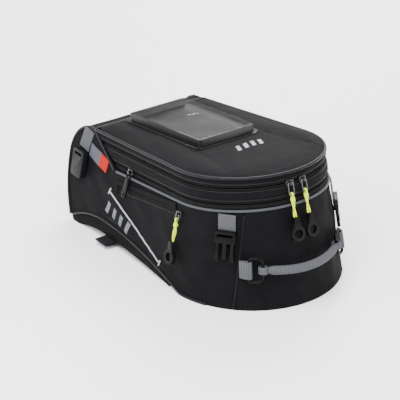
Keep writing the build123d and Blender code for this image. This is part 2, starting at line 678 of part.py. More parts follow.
def handle_nodes():
    plane = ring_plane()
    ring = plane * wire_frame(RING_WIDTH, RING_HEIGHT, RING_WIRE, RING_CORNER, RING_ROUND)
    fold = RING_WIRE / 2 + 0.3
    seam_x = -RING_WIDTH / 2 - HANDLE_TAIL
    seam = (seam_x, -RING_STANDOFF + SURFACE_GAP + WEBBING_THICKNESS + 1.5)
    bar_side = (-RING_WIDTH / 2, 0)
    outer = make_hull([
        *Circle(fold + WEBBING_THICKNESS).moved(Location((*bar_side, 0))).edges(),
        *Circle(WEBBING_THICKNESS).moved(Location((*seam, 0))).edges(),
    ])
    cheek = outer - Pos(*bar_side) * Circle(fold)
    upright = Plane(origin=(0, HANDLE_WEBBING / 2, 0), x_dir=(1, 0, 0), z_dir=(0, -1, 0))
    loop = plane * extrude(upright * cheek, amount=HANDLE_WEBBING)
    eye_place = plane.location * Pos(RING_WIDTH / 2, 0, 0)
    eye_height = 9.0
    sleeve = extrude(RectangleRounded(14, 13, 4) - RectangleRounded(9, 9, 3), amount=eye_height / 2, both=True)
    sleeve = eye_place * Rot(90, 0, 0) * sleeve
    start = (plane.location * Pos(RING_WIDTH / 2 + 5.6, 0, 0)).position
    middle = rear_point(0, HANDLE_Z, HANDLE_STANDOFF)
    path = ThreePointArc(tuple(start), (0, middle.Y, HANDLE_Z), (-start.X, start.Y, start.Z))
    section = Plane(origin=path @ 0, x_dir=(0, 0, 1), z_dir=path % 0) * Ellipse(HANDLE_THICKNESS / 2, 4.2)
    strap = sweep(section, path=path)
    handle = strap + sleeve + mirrored(sleeve)
    return {
        "d_rings": Compound(children=[ring, mirrored(ring)]),
        "handle_loops": Compound(children=[loop, mirrored(loop)]),
        "carry_handle": handle,
    }


def male_buckle():
    """Side-release plug: a frame that holds the webbing, two sprung arms and a guide between them, from Y = 0 down."""
    frame = Pos(0, -BUCKLE_FRAME / 2, 0) * bar(BUCKLE_WIDTH, BUCKLE_FRAME, BUCKLE_THICKNESS, 2.5)
    slot = Pos(0, -BUCKLE_FRAME / 2 + 2, -1) * bar(BUCKLE_WIDTH - 6, 3.2, BUCKLE_THICKNESS + 2, 1.2)
    arm_y = -BUCKLE_FRAME - PRONG_LENGTH / 2 + 0.5
    guide = Pos(0, arm_y + 2, 1) * bar(5.0, PRONG_LENGTH - 3, BUCKLE_THICKNESS - 2, 1.5)
    body = frame - slot + guide
    for side in (-1, 1):
        arm = Pos(side * 9.0, arm_y, 1) * bar(3.6, PRONG_LENGTH, BUCKLE_THICKNESS - 2, 1.2)
        tip = Pos(side * 9.8, arm_y - PRONG_LENGTH / 2 + 4.5, 1) * bar(5.0, 8.0, BUCKLE_THICKNESS - 2, 1.8)
        body = body + arm + tip
    return body


def buckle_nodes():
    plane = rear_plane(BUCKLE_ANGLE, BUCKLE_TOP_Z, 1.2)
    tab = Pos(0, -TAB_LENGTH / 2, 0) * bar(WEBBING - 3, TAB_LENGTH, WEBBING_THICKNESS)
    left = {
        "rear_tab_left": plane * tab,
        "rear_buckle_left": plane * Pos(0, -TAB_LENGTH - SEWN_GAP, 0) * male_buckle(),
    }
    front = side_plane(-1, FRONT_BUCKLE_Y, FRONT_BUCKLE_Z, SURFACE_GAP)
    width, length, thickness = FRONT_BUCKLE
    body = Pos(0, -length / 2 - FREE_GAP, 1.0) * bar(width, length, thickness, 4)
    slot = Pos(0, -6, 0) * bar(width - 7, 3.2, thickness + 2, 1.2)
    mouth = Pos(0, -length, 1.0 + thickness / 2 - 1.6) * Pos(0, 4, 0) * bar(width - 6, 12, 3.2)
    left["front_buckle_left"] = front * (body - slot - mouth)
    nodes = with_right(left)
    loop = front * Pos(0, 9, 0) * bar(WEBBING - 3, 16, WEBBING_THICKNESS + 1.0, 1)
    nodes["front_strap_loops"] = Compound(children=[loop, mirrored(loop)])
    return nodes


def strap_loops():
    """Flat folded webbing under the pad on both sides, for the straps that hold the bag on the tank."""
    reach = 30.0
    top_z = PAD_CREST_Z - 0.8
    thickness = 2 * WEBBING_THICKNESS
    outer_x = side_half(STRAP_LOOP_Y, 0) + STRAP_LOOP_OUT
    loop = Pos(-outer_x + reach / 2, STRAP_LOOP_Y, top_z - thickness) * bar(reach, WEBBING, thickness, 2)
    return Compound(children=[loop, mirrored(loop)])


def surface_strip(faces, thickness):
    """Side view faces as thin strips lying on both side panels."""
    layer = body_block(-SEWN_GAP - thickness) - body_block(-SEWN_GAP)
    strips = []
    for face in faces:
        strips.extend((layer & slab_from_profile(face)).solids())
    return Compound(children=strips)


def trim_nodes():
    front, rear = Vector(*STRIPE_FRONT), Vector(*STRIPE_REAR)
    middle = (front + rear) * 0.5
    slope = math.degrees(math.atan2(front.Y - rear.Y, front.X - rear.X))
    stripe = Pos(middle.X, middle.Y) * Rot(0, 0, slope) * Rectangle((front - rear).length, STRIPE_WIDTH)
    ticks = []
    for end in (front, rear):
        ticks.append(Pos(end.X, end.Y) * Rot(0, 0, slope) * Rectangle(STRIPE_WIDTH, 7))
    side_bars = []
    for index in range(4):
        offset = (index - 1.5) * 16
        centre = Pos(BARS_CENTRE[0] + offset, BARS_CENTRE[1] + offset * 0.18)
        side_bars.append(centre * Rot(0, 0, 22) * Rectangle(6, 15))
    label = Pos(*LABEL_CENTRE) * Rot(0, 0, LABEL_TURN) * Rectangle(*LABEL_SIZE)
    return {
        "seam_stripes": surface_strip([stripe + ticks[0] + ticks[1]], PRINT),
        "side_bars": surface_strip(side_bars, PRINT),
        "side_labels": surface_strip([label], 2 * PRINT),
    }


def build():
    free = above_body()
    nodes = {}
    groups = (lower_body(), piping_nodes(), trim_nodes(), collar_nodes(free), lid_nodes(free), window_nodes(),
              main_zip_hardware(), pocket_hardware(), expander_hardware(), handle_nodes(), buckle_nodes())
    for group in groups:
        nodes.update(group)
    nodes["lid_bars"] = lid_bars()
    nodes["strap_loops"] = strap_loops()
    return nodes


# The bag is built with its rear arc where the sizes above put it, then centred on its own length.
LENGTH_FRONT = NOSE_Y + PIPING / 2
LENGTH_REAR = rear_point(0, HANDLE_Z, HANDLE_STANDOFF).Y - 4.2
CENTRING = Pos(0, -(LENGTH_FRONT + LENGTH_REAR) / 2, 0)


def main():
    os.makedirs("parts", exist_ok=True)
    for name, shape in build().items():
        export_step(CENTRING * shape, f"parts/{name}.step")


if __name__ == "__main__":
    main()
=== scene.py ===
"""Builds the looks of a soft motorcycle tank bag around its fixed CAD frame."""

import json
import math

import bmesh
import bpy
import numpy as np
from bpy.props import FloatProperty, FloatVectorProperty, PointerProperty
from mathutils import Matrix, Vector, noise
from mathutils.bvhtree import BVHTree


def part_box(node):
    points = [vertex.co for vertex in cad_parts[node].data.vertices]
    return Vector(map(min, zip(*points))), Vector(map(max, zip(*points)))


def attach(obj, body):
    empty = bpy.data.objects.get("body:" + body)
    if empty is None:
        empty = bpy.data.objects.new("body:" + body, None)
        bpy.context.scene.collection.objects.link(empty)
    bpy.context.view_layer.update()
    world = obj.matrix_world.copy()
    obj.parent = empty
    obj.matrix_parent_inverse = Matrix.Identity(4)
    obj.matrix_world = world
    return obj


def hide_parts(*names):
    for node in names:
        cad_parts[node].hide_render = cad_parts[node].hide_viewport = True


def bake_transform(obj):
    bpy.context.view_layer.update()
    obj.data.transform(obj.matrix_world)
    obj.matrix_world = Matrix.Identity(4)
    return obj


bl_info = {
    "name": "Tank Bag",
    "version": (1, 0, 0),
    "blender": (4, 5, 0),
    "location": "View3D > Sidebar > Tank Bag",
    "description": "Padded panels, zips, webbing and hardware of a motorcycle tank bag",
    "category": "Object",
}

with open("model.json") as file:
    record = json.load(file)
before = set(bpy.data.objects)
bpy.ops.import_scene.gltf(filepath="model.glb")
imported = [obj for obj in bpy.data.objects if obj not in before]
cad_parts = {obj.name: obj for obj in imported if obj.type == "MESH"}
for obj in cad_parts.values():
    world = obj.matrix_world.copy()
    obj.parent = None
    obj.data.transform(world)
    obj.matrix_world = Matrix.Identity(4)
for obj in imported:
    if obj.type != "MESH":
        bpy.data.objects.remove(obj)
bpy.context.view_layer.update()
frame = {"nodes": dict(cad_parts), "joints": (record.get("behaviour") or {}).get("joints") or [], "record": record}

# ---- Sizes shared with the CAD, in millimetres, Y measured forwards from the bag's own middle -------------------

NOSE_Y, NOSE_Z, NOSE_RADIUS = 190.0, 85.0, 45.0     # foremost point of the front face, and its rounding above
FOOT_Y, FOOT_Z = 164.0, 7.0                         # lower end of the front face
BASE_HALF, BASE_RADIUS, BASE_REAR = 106.0, 114.0, -192.0                # lower body's outline on the tank
TOP_HALF, TOP_RADIUS, TOP_REAR, TOP_Z = 77.0, 95.5, -166.5, 140.0       # and at its nominal top
OUTLINE_Y = 215.0                                   # where those outlines' half widths are measured
ARCH_REAR, ARCH_CREST_Y, ARCH_CREST_Z = -85.0, 90.0, 26.0
LID_HALF, LID_RADIUS, LID_REAR, LID_Z = 83.5, 96.0, -162.0, 148.5
TILT = math.radians(6.5)                            # the lid falls forwards
HINGE_Y, HINGE_Z = 141.0, 130.0
HINGE_V = (HINGE_Y - 0.5) / math.cos(TILT)
LID_CROWN, CROWN_INSET = 4.0, 16.0                  # rise of the lid's middle, reached this far in from its edge
FLARE = 0.075                                       # the bands grow outwards by this for each millimetre down
BAND_END_Y = 85.0                                   # in front of this the body climbs over the bands
TOP_W = -41.6                                       # level of the body's top edge, below the lid's plane
MAIN_ZIP_W, EXPANDER_ZIP_W = -14.0, -34.0
WALL = 5.6                                          # cloth and foam together
SEAM_LOW, SEAM_HIGH = 48.0, 39.0                    # degrees from the rear centre, at the floor and at TOP_Z
POCKET_FRONT, POCKET_REAR = (63.0, 79.0), (-70.0, 100.0)    # ends of lines on the side wall, as Y and Z
STRIPE_FRONT, STRIPE_REAR = (87.0, 69.0), (-36.0, 21.5)
SEAM_TOP, SEAM_FOOT = (118.0, 105.0), (-62.0, 4.0)
RING_ANGLE, RING_Z, RING_OUT, RING_BAR = 33.5, 53.0, 8.0, 8.2   # D-rings: degrees, height, stand-off, middle to bar
WINDOW_HALF, WINDOW_REAR, WINDOW_FRONT = 48.0, -34.5, 128.5
DARTS = ((50.0, -38.0), (69.0, -132.0))             # ends of the right dart on the lid

BAG_MIDDLE, BAND_MIDDLE = (0, 0, 60), (0, -40, 0)
SIDE_STEPS, ARC_STEPS = 46, 64
OUTLINE_POINTS = 2 * SIDE_STEPS + ARC_STEPS + 1
RAY_START = 40.0                                    # how far off a surface a ray that looks for it starts
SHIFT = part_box("front_panel")[1][1] * 1000 - NOSE_Y


def to_scene(points):
    """Bag millimetres to scene metres, for one point or many."""
    return (np.asarray(points, float) + (0.0, SHIFT, 0.0)) / 1000


def to_bag(points):
    """Scene metres to bag millimetres, for one point or many."""
    return np.array(points) * 1000 - (0.0, SHIFT, 0.0)


# ---- Shapes that follow the bag's outlines --------------------------------------------------------------------

def side_line(front_half, front, radius, centre):
    """Where a straight side meets the rear arc, and how much the half width changes for each step forward."""
    reach = math.hypot(front_half, front - centre)
    turn = math.atan2(front - centre, front_half) - math.acos(radius / reach)
    side_x = radius * math.cos(turn)
    side_y = centre + radius * math.sin(turn)
    return side_x, side_y, (front_half - side_x) / (front - side_y)


def u_line(front_half, front, radius, centre):
    """Plan points of a U: the left side from the front, the round rear, and the right side."""
    side_x, side_y, _ = side_line(front_half, front, radius, centre)
    turn = math.atan2(side_y - centre, side_x)
    steps = np.arange(SIDE_STEPS) / SIDE_STEPS
    left = np.column_stack((-(front_half + (side_x - front_half) * steps), front + (side_y - front) * steps))
    angles = -math.pi - turn + (math.pi + 2 * turn) * np.arange(ARC_STEPS + 1) / ARC_STEPS
    rear = np.column_stack((radius * np.cos(angles), centre + radius * np.sin(angles)))
    return np.vstack((left, rear, (left * (-1, 1))[::-1]))


def on_lid(x, v, w):
    """Points x across and v along the lid plane, w above it."""
    x, v, w = np.broadcast_arrays(np.asarray(x, float), v, w)
    y = v * math.cos(TILT) + w * math.sin(TILT)
    z = LID_Z - v * math.sin(TILT) + w * math.cos(TILT)
    return np.stack((x, y, z), axis=-1)


def level_z(y, w):
    """Height of the lid's plane, moved to level w, above y."""
    return LID_Z + (w - y * math.sin(TILT)) / math.cos(TILT)


def band_floor(y):
    """Lowest level, in the lid frame, that the bands may reach over the body's climbing top edge."""
    climb = level_z(BAND_END_Y, TOP_W) + (y - BAND_END_Y) / (HINGE_Y - BAND_END_Y) * (
        HINGE_Z - level_z(BAND_END_Y, TOP_W))
    w = (climb + 0.6 - LID_Z) * math.cos(TILT) + y * math.sin(TILT)
    return np.where(y > BAND_END_Y, w, -1000.0)


def band_line(w, out):
    """A line round the bands at level w, out beyond their outline."""
    grow = -w * FLARE + out
    plan = u_line(LID_HALF + grow, HINGE_V, LID_RADIUS + grow, LID_REAR + LID_RADIUS)
    v = np.minimum(plan[:, 1], HINGE_V - 0.6)
    level = np.maximum(w, band_floor(v * math.cos(TILT)))
    return on_lid(plan[:, 0], v, level)


def body_outline(share, out=0.0):
    """The lower body's outline at a share of the height to TOP_Z."""
    base = u_line(BASE_HALF + out, OUTLINE_Y, BASE_RADIUS + out, BASE_REAR + BASE_RADIUS)
    top = u_line(TOP_HALF + out, OUTLINE_Y, TOP_RADIUS + out, TOP_REAR + TOP_RADIUS)
    share = np.asarray(share).reshape(-1, 1)
    return base + (top - base) * share


def body_line(w, out):
    """A line round the lower body, parallel to the lid plane at level w."""
    z = np.full(OUTLINE_POINTS, 120.0)
    for _ in range(4):
        plan = body_outline(z / TOP_Z, out)
        z = level_z(plan[:, 1], w)
    return np.column_stack((plan, z))


def wall_x(y, z, out=0.0):
    """Half width of the lower body at y and z."""
    y, z = np.asarray(y, float), np.asarray(z, float)
    share = z / TOP_Z
    halves, sides = [], []
    for half, radius, rear in ((BASE_HALF, BASE_RADIUS, BASE_REAR), (TOP_HALF, TOP_RADIUS, TOP_REAR)):
        side_x, side_y, slope = side_line(half, OUTLINE_Y, radius, rear + radius)
        halves.append(half + slope * (y - OUTLINE_Y))
        sides.append(side_y)
    straight = halves[0] + (halves[1] - halves[0]) * share + out
    radius = BASE_RADIUS + (TOP_RADIUS - BASE_RADIUS) * share + out
    rear = BASE_REAR + (TOP_REAR - BASE_REAR) * share - out
    round_part = np.sqrt(np.maximum(radius ** 2 - (y - rear - radius) ** 2, 0.0))
    return np.where(y > sides[0] + (sides[1] - sides[0]) * share, straight, round_part)


def rear_point(angle, z, out=0.0):
    """A point on the round rear, angle in degrees from the rear centre towards the left."""
    share = np.asarray(z, float) / TOP_Z
    radius = BASE_RADIUS + (TOP_RADIUS - BASE_RADIUS) * share
    centre = BASE_REAR + BASE_RADIUS + (TOP_REAR + TOP_RADIUS - BASE_REAR - BASE_RADIUS) * share
    turn = np.radians(angle)
    x, y, z = np.broadcast_arrays(-(radius + out) * np.sin(turn), centre - (radius + out) * np.cos(turn), z)
    return np.stack((x, y, z), axis=-1)


def seam_angle(z):
    """Angle from the rear centre, in degrees, at which the side and rear walls are sewn together."""
    return SEAM_LOW + (SEAM_HIGH - SEAM_LOW) * z / TOP_Z


def arch_z(y):
    """Height of the arched underside."""
    y = np.asarray(y, float)
    heights = []
    for end_y, end_z in ((ARCH_REAR, 0.0), (FOOT_Y, FOOT_Z)):
        run, drop = end_y - ARCH_CREST_Y, ARCH_CREST_Z - end_z
        radius = (run * run + drop * drop) / (2 * drop)
        heights.append(ARCH_CREST_Z - radius + np.sqrt(np.maximum(radius ** 2 - (y - ARCH_CREST_Y) ** 2, 0.0)))
    z = np.where(y < ARCH_CREST_Y, heights[0], heights[1])
    return np.where(y < ARCH_REAR, 0.0, np.where(y > FOOT_Y, FOOT_Z, z))


def front_profile(inset=0.0, count=60):
    """Y and Z up the front face and over its rounding to the hinge, evenly spaced."""
    lean = ((NOSE_Y - FOOT_Y) ** 2 + NOSE_Z ** 2) / (2 * (NOSE_Y - FOOT_Y))
    turns = np.linspace(math.asin((NOSE_Z - FOOT_Z) / lean), 0, 40)
    face = np.column_stack((NOSE_Y - lean + (lean - inset) * np.cos(turns), NOSE_Z - (lean - inset) * np.sin(turns)))
    turns = np.linspace(0, math.pi / 2, 30)[1:]
    small = NOSE_RADIUS - inset
    over = np.column_stack((NOSE_Y - NOSE_RADIUS + small * np.cos(turns), NOSE_Z + small * np.sin(turns)))
    line = np.vstack((face, over, [(HINGE_Y, HINGE_Z - inset)]))
    return even(line, count)


def run_along(line):
    """How far along a line each of its points is."""
    return np.concatenate(([0], np.cumsum(np.linalg.norm(np.diff(line, axis=0), axis=1))))


def even(line, count):
    """The same line with evenly spaced points."""
    line = np.asarray(line, float)
    run = run_along(line)
    at = np.linspace(0, run[-1], count)
    return np.column_stack([np.interp(at, run, line[:, k]) for k in range(line.shape[1])])


def patch(low, high, start, end):
    """A smooth grid between four boundary lines."""
    u = np.linspace(0, 1, len(low)).reshape(-1, 1, 1)
    v = np.linspace(0, 1, len(start)).reshape(1, -1, 1)
    low, high = low[:, None, :], high[:, None, :]
    start, end = start[None, :, :], end[None, :, :]
    corners = ((1 - u) * (1 - v) * low[:1] + u * (1 - v) * low[-1:] + (1 - u) * v * high[:1] + u * v * high[-1:])
    return (1 - v) * low + v * high + (1 - u) * start + u * end - corners


def line_distance(points, a, b):
    """Distance in a plane from each point to the stretch from a to b."""
    a, b = np.asarray(a, float), np.asarray(b, float)
    along = np.clip(((points - a) @ (b - a)) / ((b - a) @ (b - a)), 0, 1)
    return np.linalg.norm(points - (a + along[..., None] * (b - a)), axis=-1)


def wobble(points, size, amount, seed=0.0):
    """Smooth unevenness, amount millimetres at a pattern of size millimetres."""
    flat = points.reshape(-1, 3)
    values = [noise.noise(Vector(p) / size + Vector((seed, 3.7 * seed, 0))) for p in flat]
    return amount * np.array(values).reshape(points.shape[:-1])


# ---- Making objects ------------------------------------------------------------------------------------------

SHARP_ANGLE, SHARP_CREASE = 1.0, 0.85   # edges that turn more, in radians, stay this crisp when subdivided
WELD = 1e-6                             # metres within which points are one
SWELL_FRAMES = 18
SUNK = 0.3                              # millimetres that a flat piece's back is let into its wall


def set_uvs(mesh, uvs):
    """Gives a mesh the UV pair of each of its points."""
    index = np.empty(len(mesh.loops), int)
    mesh.loops.foreach_get("vertex_index", index)
    mesh.uv_layers[0].data.foreach_set("uv", np.asarray(uvs, np.float32)[index].ravel())


def new_object(name, points, faces, uvs=None):
    """A mesh object from bag millimetres, its faces turned outwards and its sharp edges creased."""
    mesh = bpy.data.meshes.new(name)
    mesh.from_pydata([tuple(p) for p in to_scene(points)], [], [tuple(f) for f in faces])
    if uvs is not None:
        mesh.uv_layers.new(name="UVMap")
        set_uvs(mesh, uvs)
    work = bmesh.new()
    work.from_mesh(mesh)
    bmesh.ops.recalc_face_normals(work, faces=work.faces)
    crease = work.edges.layers.float.new("crease_edge")
    for edge in work.edges:
        if edge.calc_face_angle(0.0) > SHARP_ANGLE:
            edge[crease] = SHARP_CREASE
    work.to_mesh(mesh)
    work.free()
    mesh.shade_smooth()
    made = bpy.data.objects.new(name, mesh)
    bpy.context.scene.collection.objects.link(made)
    return made


def finish_piece(made, body, finish, nodes=()):
    """Gives a piece its finish, its body and the CAD nodes it stands for."""
    if not made.data.materials:
        made.data.materials.append(finish)
    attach(made, body)
    if nodes:
        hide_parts(*nodes)
    return made


def grid_faces(rows, columns, start=0):
    """Quads of a grid of rows by columns points."""
    faces = []
    for i in range(rows - 1):
        j = np.arange(columns - 1)
        a, b = start + i * columns, start + (i + 1) * columns
        faces.extend(zip(a + j, b + j, b + j + 1, a + j + 1))
    return faces


def uv_pairs(along, across):
    """A UV pair in metres for each point of a grid, from its millimetres along and across."""
    return np.stack(np.meshgrid(along, across, indexing="ij"), axis=-1) / 1000


def lengths(grid):
    """Metres run along both ways of a grid, as one UV pair for each point."""
    middle_row, middle_column = grid[:, grid.shape[1] // 2], grid[grid.shape[0] // 2]
    return uv_pairs(run_along(middle_row), run_along(middle_column))


def slab(name, outer, inner, outside, inside):
    """A closed slab between two grids of the same shape, with one finish outside and one inside."""
    rows, columns = outer.shape[:2]
    count = rows * columns
    uvs = lengths(outer).reshape(-1, 2)
    faces = grid_faces(rows, columns) + grid_faces(rows, columns, count)
    rim = list(range(columns)) + [i * columns + columns - 1 for i in range(1, rows)]
    rim += [(rows - 1) * columns + j for j in range(columns - 2, -1, -1)]
    rim += [i * columns for i in range(rows - 2, 0, -1)]
    for a, b in zip(rim, rim[1:] + rim[:1]):
        faces.append((a, b, b + count, a + count))
    points = np.vstack((outer.reshape(-1, 3), inner.reshape(-1, 3)))
    made = new_object(name, points, faces, np.vstack((uvs, uvs)))
    for finish in (outside, inside):
        made.data.materials.append(finish)
    inner_faces = (rows - 1) * (columns - 1)
    for index in range(inner_faces, 2 * inner_faces):
        made.data.polygons[index].material_index = 1
    return made


def subdivide(made):
    """A live subdivision surface, the same in the viewport and the render."""
    modifier = made.modifiers.new("Subdivision", "SUBSURF")
    modifier.levels = modifier.render_levels = 1
    return made


def sealed(made, finish, weld=WELD):
    """Merges a mesh's doubled points, closes its ends, turns it outwards and gives it its finish."""
    work = bmesh.new()
    work.from_mesh(made.data)
    bmesh.ops.remove_doubles(work, verts=work.verts, dist=weld)
    bmesh.ops.holes_fill(work, edges=[e for e in work.edges if e.is_boundary], sides=0)
    bmesh.ops.recalc_face_normals(work, faces=work.faces)
    work.to_mesh(made.data)
    work.free()
    made.data.shade_smooth()
    made.data.materials.append(finish)
    return made


def rim_held(shape):
    """Which points of a grid are held, starting with those round its rim."""
    held = np.zeros(shape, bool)
    held[:1] = held[-1:] = held[:, :1] = held[:, -1:] = True
    return held


def rim_fade(count, reach):
    """Rises from 0 at both ends of a run of points to 1, reach points in."""
    steps = np.arange(count)
    return np.clip(np.minimum(steps, steps[::-1]) / reach, 0, 1)


def swell(grid, pinned, pressure, cap):
    """Blows a grid of cloth up gently with its pinned points held, none moving further than cap millimetres."""
    rows, columns = grid.shape[:2]
    made = new_object("swell", grid.reshape(-1, 3), grid_faces(rows, columns))
    middle = made.data.polygons[len(made.data.polygons) // 2]
    away = middle.center - Vector(to_scene(BAG_MIDDLE))
    if middle.normal.dot(away) < 0:
        pressure = -pressure
    group = made.vertex_groups.new(name="held")
    for index in np.flatnonzero(pinned.ravel()):
        group.add([int(index)], 1.0, "REPLACE")
    cloth = made.modifiers.new("Cloth", "CLOTH")
    settings = cloth.settings
    for key, value in {"quality": 6, "mass": 0.15, "tension_stiffness": 12, "compression_stiffness": 12,
                       "shear_stiffness": 4, "bending_stiffness": 0.3, "vertex_group_mass": group.name,
                       "use_pressure": True, "uniform_pressure_force": pressure}.items():
        setattr(settings, key, value)
    settings.effector_weights.gravity = 0
    cloth.point_cache.frame_start, cloth.point_cache.frame_end = 1, SWELL_FRAMES
    for step in range(1, SWELL_FRAMES + 1):
        bpy.context.scene.frame_set(step)
    shown = made.evaluated_get(bpy.context.evaluated_depsgraph_get())
    moved = np.empty(len(shown.data.vertices) * 3)
    shown.data.vertices.foreach_get("co", moved)
    bpy.context.scene.frame_set(1)
    mesh = made.data
    bpy.data.objects.remove(made)
    bpy.data.meshes.remove(mesh)
    step = to_bag(moved.reshape(grid.shape)) - grid
    size = np.linalg.norm(step, axis=-1, keepdims=True)
    return grid + step * cap * np.tanh(size / cap) / np.maximum(size, 1e-6)


def tube(name, path, radius, finish, flat=1.0, up=(0, 0, 1), sides=10):
    """A round or flattened bead along a path, with UVs that run along it."""
    path = np.asarray(path, float)
    forward = np.roll(path, -1, axis=0) - np.roll(path, 1, axis=0)
    forward[0], forward[-1] = path[1] - path[0], path[-1] - path[-2]
    forward /= np.linalg.norm(forward, axis=1, keepdims=True)
    side = np.cross(forward, np.broadcast_to(up, forward.shape))
    side /= np.linalg.norm(side, axis=1, keepdims=True)
    over = np.cross(side, forward)
    turns = np.linspace(0, 2 * math.pi, sides + 1)
    radius = np.broadcast_to(radius, len(path)).reshape(-1, 1, 1)
    ring = np.cos(turns)[:, None] * side[:, None] * flat + np.sin(turns)[:, None] * over[:, None]
    points = (path[:, None] + radius * ring).reshape(-1, 3)
    uvs = uv_pairs(run_along(path), turns * float(radius.mean())).reshape(-1, 2)
    return sealed(new_object(name, points, grid_faces(len(path), sides + 1), uvs), finish, WELD / 10)


def ribbon(name, section, finish, uneven=0.0, seed=0.0):
    """A closed band round the bag, from a section of (level, out) points in order round it."""
    grid = np.stack([band_line(w, out) for w, out in section], axis=1)
    top = max(w for w, _ in section)
    grid = grid[band_floor(grid[:, 0, 1]) < top - 1.0]
    if uneven:
        away = (grid - BAND_MIDDLE) * (1, 1, 0)
        away /= np.linalg.norm(away, axis=-1, keepdims=True)
        grid = grid + away * wobble(grid, 24.0, uneven, seed)[..., None]
    grid = np.concatenate((grid, grid[:, :1]), axis=1)
    made = new_object(name, grid.reshape(-1, 3), grid_faces(*grid.shape[:2]), lengths(grid).reshape(-1, 2))
    return sealed(made, finish)


def seat(surface, points, side, lift):
    """Puts points with known Y and Z onto a side wall's outer surface, lift millimetres out, with their normals."""
    placed, normals = [], []
    for y, z in np.asarray(points, float).reshape(-1, 2):
        x = side * float(wall_x(y, z))
        start = Vector(to_scene((x + side * RAY_START, y, z)))
        hit, normal, _, _ = surface.ray_cast(start, Vector((-side, 0, 0)))
        if hit is None:
            hit, normal = Vector(to_scene((x, y, z))), Vector((side, 0, 0))
        normal = np.array(normal) * (1 if normal.x * side > 0 else -1)
        placed.append(to_bag(hit) + normal * lift)
        normals.append(normal)
    return np.array(placed), np.array(normals)


def seat_on_lid(surface, x, v, lift):
    """Puts points of the lid plane onto the lid's outer surface, lift millimetres out."""
    placed = []
    down = -np.array((0, math.sin(TILT), math.cos(TILT)))
    for a, b in zip(np.ravel(x), np.ravel(v)):
        hit = surface.ray_cast(Vector(to_scene(on_lid(a, b, RAY_START))), Vector(down))[0]
        here = on_lid(a, b, LID_CROWN) if hit is None else to_bag(hit)
        placed.append(here - down * lift)
    return np.array(placed)


def surface_of(name):
    """A ray target made from a finished piece."""
    return BVHTree.FromObject(bpy.data.objects[name], bpy.context.evaluated_depsgraph_get())


def decal(name, outline_grid, thickness, finish, surface, side, uvs):
    """A thin flat piece lying on a side wall. outline_grid is a grid of Y and Z."""
    rows, columns = outline_grid.shape[:2]
    low, normals = seat(surface, outline_grid, side, -SUNK)
    high = low + normals * (SUNK + thickness)
    made = slab(name, high.reshape(rows, columns, 3), low.reshape(rows, columns, 3), finish, finish)
    set_uvs(made.data, np.vstack((uvs.reshape(-1, 2),) * 2))
    return made


def turned_grid(centre, length, width, turn, rows, columns):
    """A rectangle of Y and Z points about a centre, turned by degrees, and its UVs in metres."""
    a, b = np.meshgrid(np.linspace(-length / 2, length / 2, rows), np.linspace(-width / 2, width / 2, columns),
                       indexing="ij")
    uvs = np.stack((a, b), axis=-1) / 1000
    c, s = math.cos(math.radians(turn)), math.sin(math.radians(turn))
    return np.stack((centre[0] + a * c - b * s, centre[1] + a * s + b * c), axis=-1), uvs


def joined(name, pieces):
    """Several objects made into one."""
    with bpy.context.temp_override(active_object=pieces[0], selected_editable_objects=pieces):
        bpy.ops.object.join()
    pieces[0].name = pieces[0].data.name = name
    return pieces[0]


def polished(node, finish, edge):
    """A copy of a hard CAD node with its edges rounded by edge millimetres, standing in for it."""
    mesh = frame["nodes"][node].data.copy()
    mesh.name = node + "_moulded"
    work = bmesh.new()
    work.from_mesh(mesh)
    bmesh.ops.remove_doubles(work, verts=work.verts, dist=WELD)
    bmesh.ops.dissolve_limit(work, angle_limit=math.radians(0.1), verts=work.verts, edges=work.edges)
    work.to_mesh(mesh)
    work.free()
    mesh.materials.clear()
    mesh.materials.append(finish)
    made = bpy.data.objects.new(node + "_moulded", mesh)
    bpy.context.scene.collection.objects.link(made)
    bevel = made.modifiers.new("Bevel", "BEVEL")
    for key, value in {"width": edge / 1000, "segments": 2, "limit_method": "ANGLE", "angle_limit": math.radians(35),
                       "harden_normals": True}.items():
        setattr(bevel, key, value)
    mesh.shade_smooth()
    return finish_piece(made, node_body(node), finish, (node,))


def node_body(node):
    """The body that a CAD node belongs to."""
    for body, nodes in frame["record"]["behaviour"]["bodies"].items():
        if node in nodes:
            return body
    raise RuntimeError(f"no body holds {node}")


# ---- Materials -----------------------------------------------------------------------------------------------

WAVE_STEP = 0.314    # the Wave Texture's scale at which one band is one unit wide


def linear(code):
    """An sRGB hex colour as linear red, green, blue and alpha."""
    values = [int(code[k:k + 2], 16) / 255 for k in (1, 3, 5)]
    return [v / 12.92 if v <= 0.04045 else ((v + 0.055) / 1.055) ** 2.4 for v in values] + [1.0]


def add_node(tree, kind, settings, inputs):
    """One node with its own settings, and its inputs given as values or as sockets to link from."""
    made = tree.nodes.new(kind)
    for key, value in settings.items():
        setattr(made, key, value)
    for key, value in inputs.items():
        if isinstance(value, bpy.types.NodeSocket):
            tree.links.new(value, made.inputs[key])
        else:
            made.inputs[key].default_value = value
    return made


def blank(name, **shader_inputs):
    """A material with its Principled shader, whose plain numbers are set on its own sockets."""
    material = bpy.data.materials.new(name)
    material.use_nodes = True
    tree = material.node_tree
    shader = tree.nodes["Principled BSDF"]
    for key, value in shader_inputs.items():
        shader.inputs[key.replace("_", " ")].default_value = value
    return material, tree, shader


def shade(colour, share):
    """A linear colour, darker or lighter by a share."""
    return [min(1, part * share) for part in colour[:3]] + [1]


